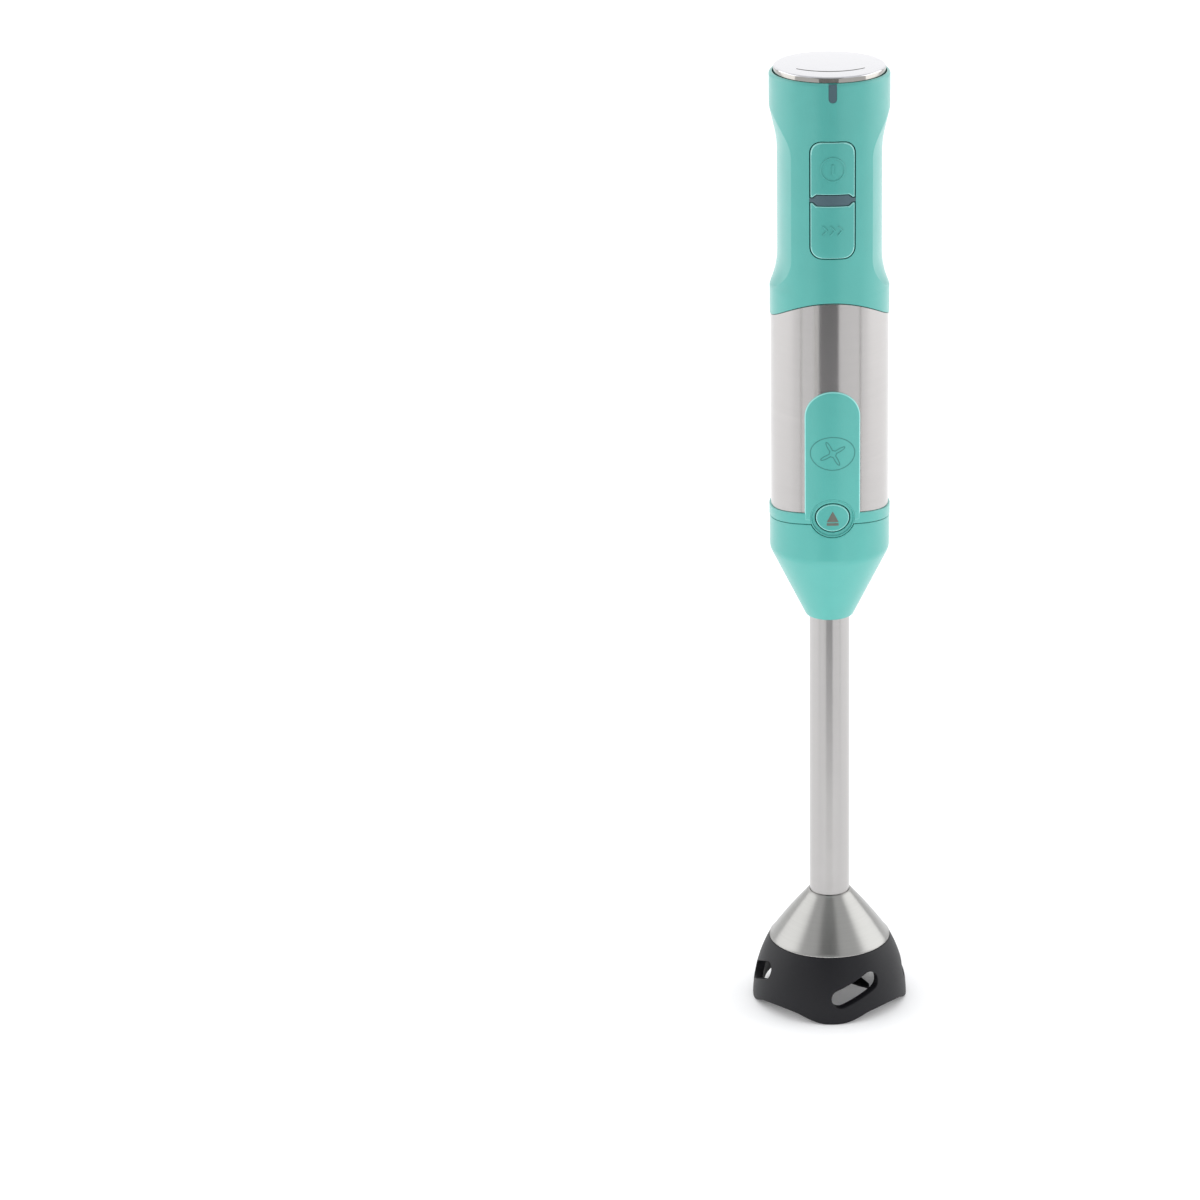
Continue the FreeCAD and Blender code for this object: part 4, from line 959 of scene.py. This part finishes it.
def make_guard():
    rows = 40
    head = GUARD_HEAD_Z

    def column(angle):
        foot = guard_foot(angle, GUARD_R)
        foot_in = guard_foot(angle, GUARD_R - GUARD_WALL)
        outline = [(guard_radius(foot_in) - GUARD_WALL + 0.5, foot_in),
                   (guard_radius(foot) - 0.5, foot), (guard_radius(foot) - 0.16, foot + 0.1),
                   (guard_radius(foot + 0.3) - 0.02, foot + 0.32)]
        for k in range(rows + 1):
            z = foot + 0.6 + (head - 0.3 - foot - 0.6) * k / rows
            outline.append((guard_radius(z), z))
        outline += [(guard_radius(head) - 0.12, head - 0.06), (guard_radius(head) - 0.4, head),
                    (guard_radius(head) - GUARD_WALL - 0.9, head)]
        for k in range(14):
            z = head - 0.5 + (foot_in + 0.5 - head + 0.5) * k / 13
            outline.append((guard_radius(z, GUARD_WALL), z))
        return outline

    guard = shell("guard_skirt", column)
    carve(guard, [window_cutter(k) for k in range(4)])
    finish_piece(guard, "blending_leg", GUARD, ["blade_guard"])


def window_cutter(index):
    """Slanted slot through the guard, flared a little where it meets the outside."""
    half_long, half_wide = 11.0, 3.75
    centre_z, turn, tilt = 13.5, math.radians(WINDOW_TURNS[index]), math.radians(22.0)
    inner = half_long - half_wide
    right = [(inner + half_wide * math.cos(a), half_wide * math.sin(a))
             for a in [math.pi * (k / 16 - 0.5) for k in range(17)]]
    slot = resampled(right + [(-x, -z) for x, z in right], 0.7)
    slot = [(x * math.cos(tilt) - z * math.sin(tilt), x * math.sin(tilt) + z * math.cos(tilt) + centre_z)
            for x, z in slot]

    def placed(x, reach, z):
        return (x * math.cos(turn) + reach * math.sin(turn), x * math.sin(turn) - reach * math.cos(turn), z)

    layers = [[placed(x, 18.0, z) for x, z in slot]]
    for out, lift in ((0.0, -0.5), (0.1, -0.18), (0.3, 0.02), (0.9, 0.7)):
        layer = []
        for x, z in offset(slot, out):
            surface = math.sqrt(max(guard_radius(max(z, 0.0)) ** 2 - x ** 2, 1.0))
            layer.append(placed(x, surface + lift, z))
        layers.append(layer)
    return build(f"window_cutter_{index}",
                 *capped(layers, [], placed(0, 34.0, centre_z), placed(0, 18.0, centre_z)))


def make_wing(index):
    """One wing: a flat plate whose leading edge is ground to a thin line."""
    centre_z, thick = 14.2, 0.8
    turn = math.radians(BLADE_TURN + 90 * index)
    slope = math.radians(9.0 if index % 2 == 0 else -9.0)
    edge = [(4.2, -3.8), (8.0, -4.35), (12.0, -4.6), (17.0, -3.2), (21.0, -1.1), (23.7, 0.8)]
    back = [(23.0, 3.1), (17.0, 3.4), (10.0, 3.7), (4.2, 3.8)]
    ground = [(r + 0.2, y + 1.5) for r, y in edge]
    points = []
    for outline, lift in ((edge + back, -0.05), (ground + back, thick), (edge + back, -0.12),
                          (ground + back, -thick)):
        for r, y in outline:
            rise = r * math.sin(slope) + lift * math.cos(slope)
            points.append((r * math.cos(turn) - y * math.sin(turn),
                           r * math.sin(turn) + y * math.cos(turn), centre_z + rise))
    count = len(edge + back)
    faces = []
    for layer_a, layer_b in ((0, 1), (2, 0), (3, 2)):
        for j in range(count):
            step = (j + 1) % count
            faces.append((layer_a * count + j, layer_a * count + step, layer_b * count + step,
                          layer_b * count + j))
    faces += [tuple(count + j for j in range(count)), tuple(3 * count + j for j in range(count))]
    return build(f"wing_{index}", points, faces)


def make_blade():
    """Four wings on a round centre: two rise and two drop."""
    wings = [make_wing(index) for index in range(4)]
    wings.append(lathe("blade_middle", [(3.7, 12.8), (6.0, 12.8), (6.0, 15.6), (3.7, 15.6)], 64))
    finish_piece(joined("blade_wings", wings), "blade_drive", BLADE, ["cutting_blade"])


# ---- gland -----------------------------------------------------------------------------------

def make_gland():
    """Rubber cord inlet at the back, with two grip ribs."""
    level = (low("cord_gland").z + high("cord_gland").z) / 2
    start, end = low("cord_gland").y, high("cord_gland").y
    outline = rounded([(3.6, start, 0.2), (7.6, start, 0.2), (7.6, start + 2.2, 0.2), (6.0, start + 2.2, 0),
                       (6.0, end - 3.4, 0.3), (5.4, end - 3.0, 0.2), (5.4, end - 2.2, 0.2),
                       (6.0, end - 1.9, 0.3), (6.0, end, 0.8), (3.6, end, 0.4)], 4)
    gland = lathe("gland_sleeve", outline, 96)
    for vertex in gland.data.vertices:
        x, y, z = vertex.co
        vertex.co = (x, z, level * MM - y)
    tidy(gland)
    finish_piece(gland, "motor_unit", RUBBER, ["cord_gland"])


# ---- inner CAD nodes keep their shape and get materials ----------------------------------------

INNER = [
    (BLACK, ["button_carrier", "power_triac", "power_switch", "turbo_switch", "socket_cup",
             "motor_end_cap", "dial_hub", "drive_coupling", "coupling_spigot", "leg_coupling"]),
    (GUARD, ["bell_liner", "blade_hub"]),
    (WHITE, ["terminal_block", "cradle_left", "cradle_right", "latch_slider", "cooling_fan",
             "middle_bush"]),
    (RUBBER, ["dial_seal", "lower_mount", "motor_leads", "shaft_seal"]),
    (BOARD, ["control_board"]),
    (FILM, ["filter_capacitor"]),
    (STEEL, ["board_screws", "potentiometer", "socket_screws", "motor_can", "end_cap_screws",
             "upper_bearing", "lower_bearing", "power_spring", "turbo_spring", "release_spring",
             "dial_shaft", "motor_shaft", "drive_shaft"]),
    (BRASS, ["brush_holders", "upper_bush", "lower_bush"]),
    (COPPER, ["armature_windings", "commutator"]),
    (FERRITE, ["motor_magnets", "carbon_brushes", "armature_core"]),
]


def dress_inner_nodes():
    for material, names in INNER:
        for name in names:
            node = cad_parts[name]
            node.data.materials.clear()
            node.data.materials.append(material)
            for polygon in node.data.polygons:
                polygon.use_smooth = True
            edges = node.modifiers.new("edges", "EDGE_SPLIT")
            edges.split_angle = math.radians(30)


# ---- studio, in metres -------------------------------------------------------------------------

FLOOR_REACH = 12.0
CARD_LEFT = -0.152
CARD_RIGHT = 0.092
CARD_Y = -0.36
DIAL_CARD_FOOT = 0.235
DIAL_CARD_HEAD = 0.34
BAND_R = 0.5
BAND_HEAD = 0.3
MIDDLE = (0, 0, 0.2)


def stage_plane(name, corners, colour, glow=0.0):
    """Matt four-cornered plane of the studio, which is no piece of the object."""
    mesh = bpy.data.meshes.new(name)
    mesh.from_pydata(corners, [], [(0, 1, 2, 3)])
    item = bpy.data.objects.new(name, mesh)
    scene.collection.objects.link(item)
    nodes = Nodes(name)
    nodes.shader.inputs["Base Color"].default_value = (*colour, 1)
    nodes.shader.inputs["Roughness"].default_value = 0.9
    nodes.shader.inputs["Specular IOR Level"].default_value = 0.0
    nodes.shader.inputs["Emission Color"].default_value = (1, 1, 1, 1)
    nodes.shader.inputs["Emission Strength"].default_value = glow
    mesh.materials.append(nodes.material)
    return item


def area_light(name, place, target, wide, tall, power):
    """Soft white light panel that the camera doesn't see."""
    data = bpy.data.lights.new(name, "AREA")
    data.shape = "RECTANGLE"
    data.size, data.size_y = wide, tall
    data.energy = power
    light = bpy.data.objects.new(name, data)
    light.location = place
    light.rotation_euler = (Vector(target) - Vector(place)).to_track_quat("-Z", "Y").to_euler()
    light.visible_camera = False
    scene.collection.objects.link(light)
    return light


def make_floor():
    reach = FLOOR_REACH
    stage_plane("floor", [(-reach, -reach, 0), (reach, -reach, 0), (reach, reach, 0), (-reach, reach, 0)],
                (0.93, 0.93, 0.935), glow=0.08)


def front_card(name, foot, head, colour, flare=1.0):
    """Upright card before the object, whose head is flare times as wide as its foot."""
    corners = [(CARD_LEFT, CARD_Y, foot), (CARD_RIGHT, CARD_Y, foot), (flare * CARD_RIGHT, CARD_Y, head),
               (flare * CARD_LEFT, CARD_Y, head)]
    return stage_plane(name, corners, colour)


def band_card(name, turn, wide, tone):
    """Upright card at a turn round the object, both in degrees, for one band on the steel."""
    ends = [math.radians(turn + side * wide / 2) for side in (-1, 1)]
    (x0, y0), (x1, y1) = [(BAND_R * math.sin(a), -BAND_R * math.cos(a)) for a in ends]
    return stage_plane(name, [(x0, y0, 0), (x1, y1, 0), (x1, y1, BAND_HEAD), (x0, y0, BAND_HEAD)],
                       (tone, tone, tone * 0.98))


def make_cards():
    """Cards that only reflections see. They place the light and dark bands on steel and dial."""
    lift = 0.001
    near_y = -0.04
    cards = [
        front_card("dark_card", 0, DIAL_CARD_FOOT, (0.26, 0.26, 0.265)),
        front_card("dial_card", DIAL_CARD_FOOT, DIAL_CARD_HEAD, (0.02, 0.02, 0.02)),
        front_card("high_card", DIAL_CARD_HEAD, 0.75, (0.24, 0.24, 0.24), flare=2.4),
        stage_plane("grey_card", [(CARD_LEFT, CARD_Y, lift), (CARD_RIGHT, CARD_Y, lift),
                                  (0.012, near_y, lift), (-0.016, near_y, lift)], (0.98, 0.98, 0.98)),
        stage_plane("back_card", [(-1.3, 1.5, 0.4), (1.3, 1.5, 0.4), (1.3, 1.5, 2.0), (-1.3, 1.5, 2.0)],
                    (0.05, 0.05, 0.05), glow=1.2),
        band_card("band_left", -59.0, 4.0, 0.6),
        band_card("band_left_inner", -29.0, 8.0, 0.66),
        band_card("band_right", 58.0, 3.4, 0.45),
    ]
    for card in cards:
        card.visible_camera = False
        card.visible_diffuse = False
        card.visible_shadow = False
        card.visible_transmission = False


def make_sky():
    world = bpy.data.worlds.new("studio")
    world.use_nodes = True
    scene.world = world
    sky = world.node_tree.nodes["Background"]
    sky.inputs["Color"].default_value = (0.985, 0.99, 1.0, 1)
    sky.inputs["Strength"].default_value = 0.85


def make_lights():
    """Two side panels, and a rear panel and a low fill that reflections don't see."""
    area_light("left_box", (-1.6, 0.35, 0.8), MIDDLE, 1.8, 1.6, 10.5)
    area_light("right_box", (1.6, 0.3, 0.8), MIDDLE, 1.8, 1.6, 12)
    rear = area_light("back_box", (0, 1.5, 1.15), MIDDLE, 2.6, 1.5, 12.5)
    rear.visible_glossy = False
    fill = area_light("low_fill", (0, -0.22, 0.012), MIDDLE, 0.3, 0.2, 0.5)
    fill.visible_glossy = False


def make_studio():
    make_floor()
    make_cards()
    make_sky()
    make_lights()


def make_camera():
    data = bpy.data.cameras.new("camera")
    data.sensor_width = 36.0
    data.lens = 137.0
    data.shift_x = -0.19125
    camera = bpy.data.objects.new("camera", data)
    turn, pitch, distance = math.radians(-3.08), math.radians(20.2), 1.870
    target = Vector((0, 0, 0.1766))
    away = Vector((math.sin(turn) * math.cos(pitch), -math.cos(turn) * math.cos(pitch), math.sin(pitch)))
    camera.location = target + away * distance
    camera.rotation_euler = (-away).to_track_quat("-Z", "Y").to_euler()
    scene.collection.objects.link(camera)
    scene.camera = camera


make_camera()
make_studio()
make_grip()
make_buttons()
make_inserts()
make_dial()
make_dial_line()
make_tongue_mark()
make_blade()
make_sleeve()
make_ring()
make_release()
make_collar()
make_tube()
make_bell()
make_guard()
make_gland()
dress_inner_nodes()
scene.view_settings.view_transform = "Standard"
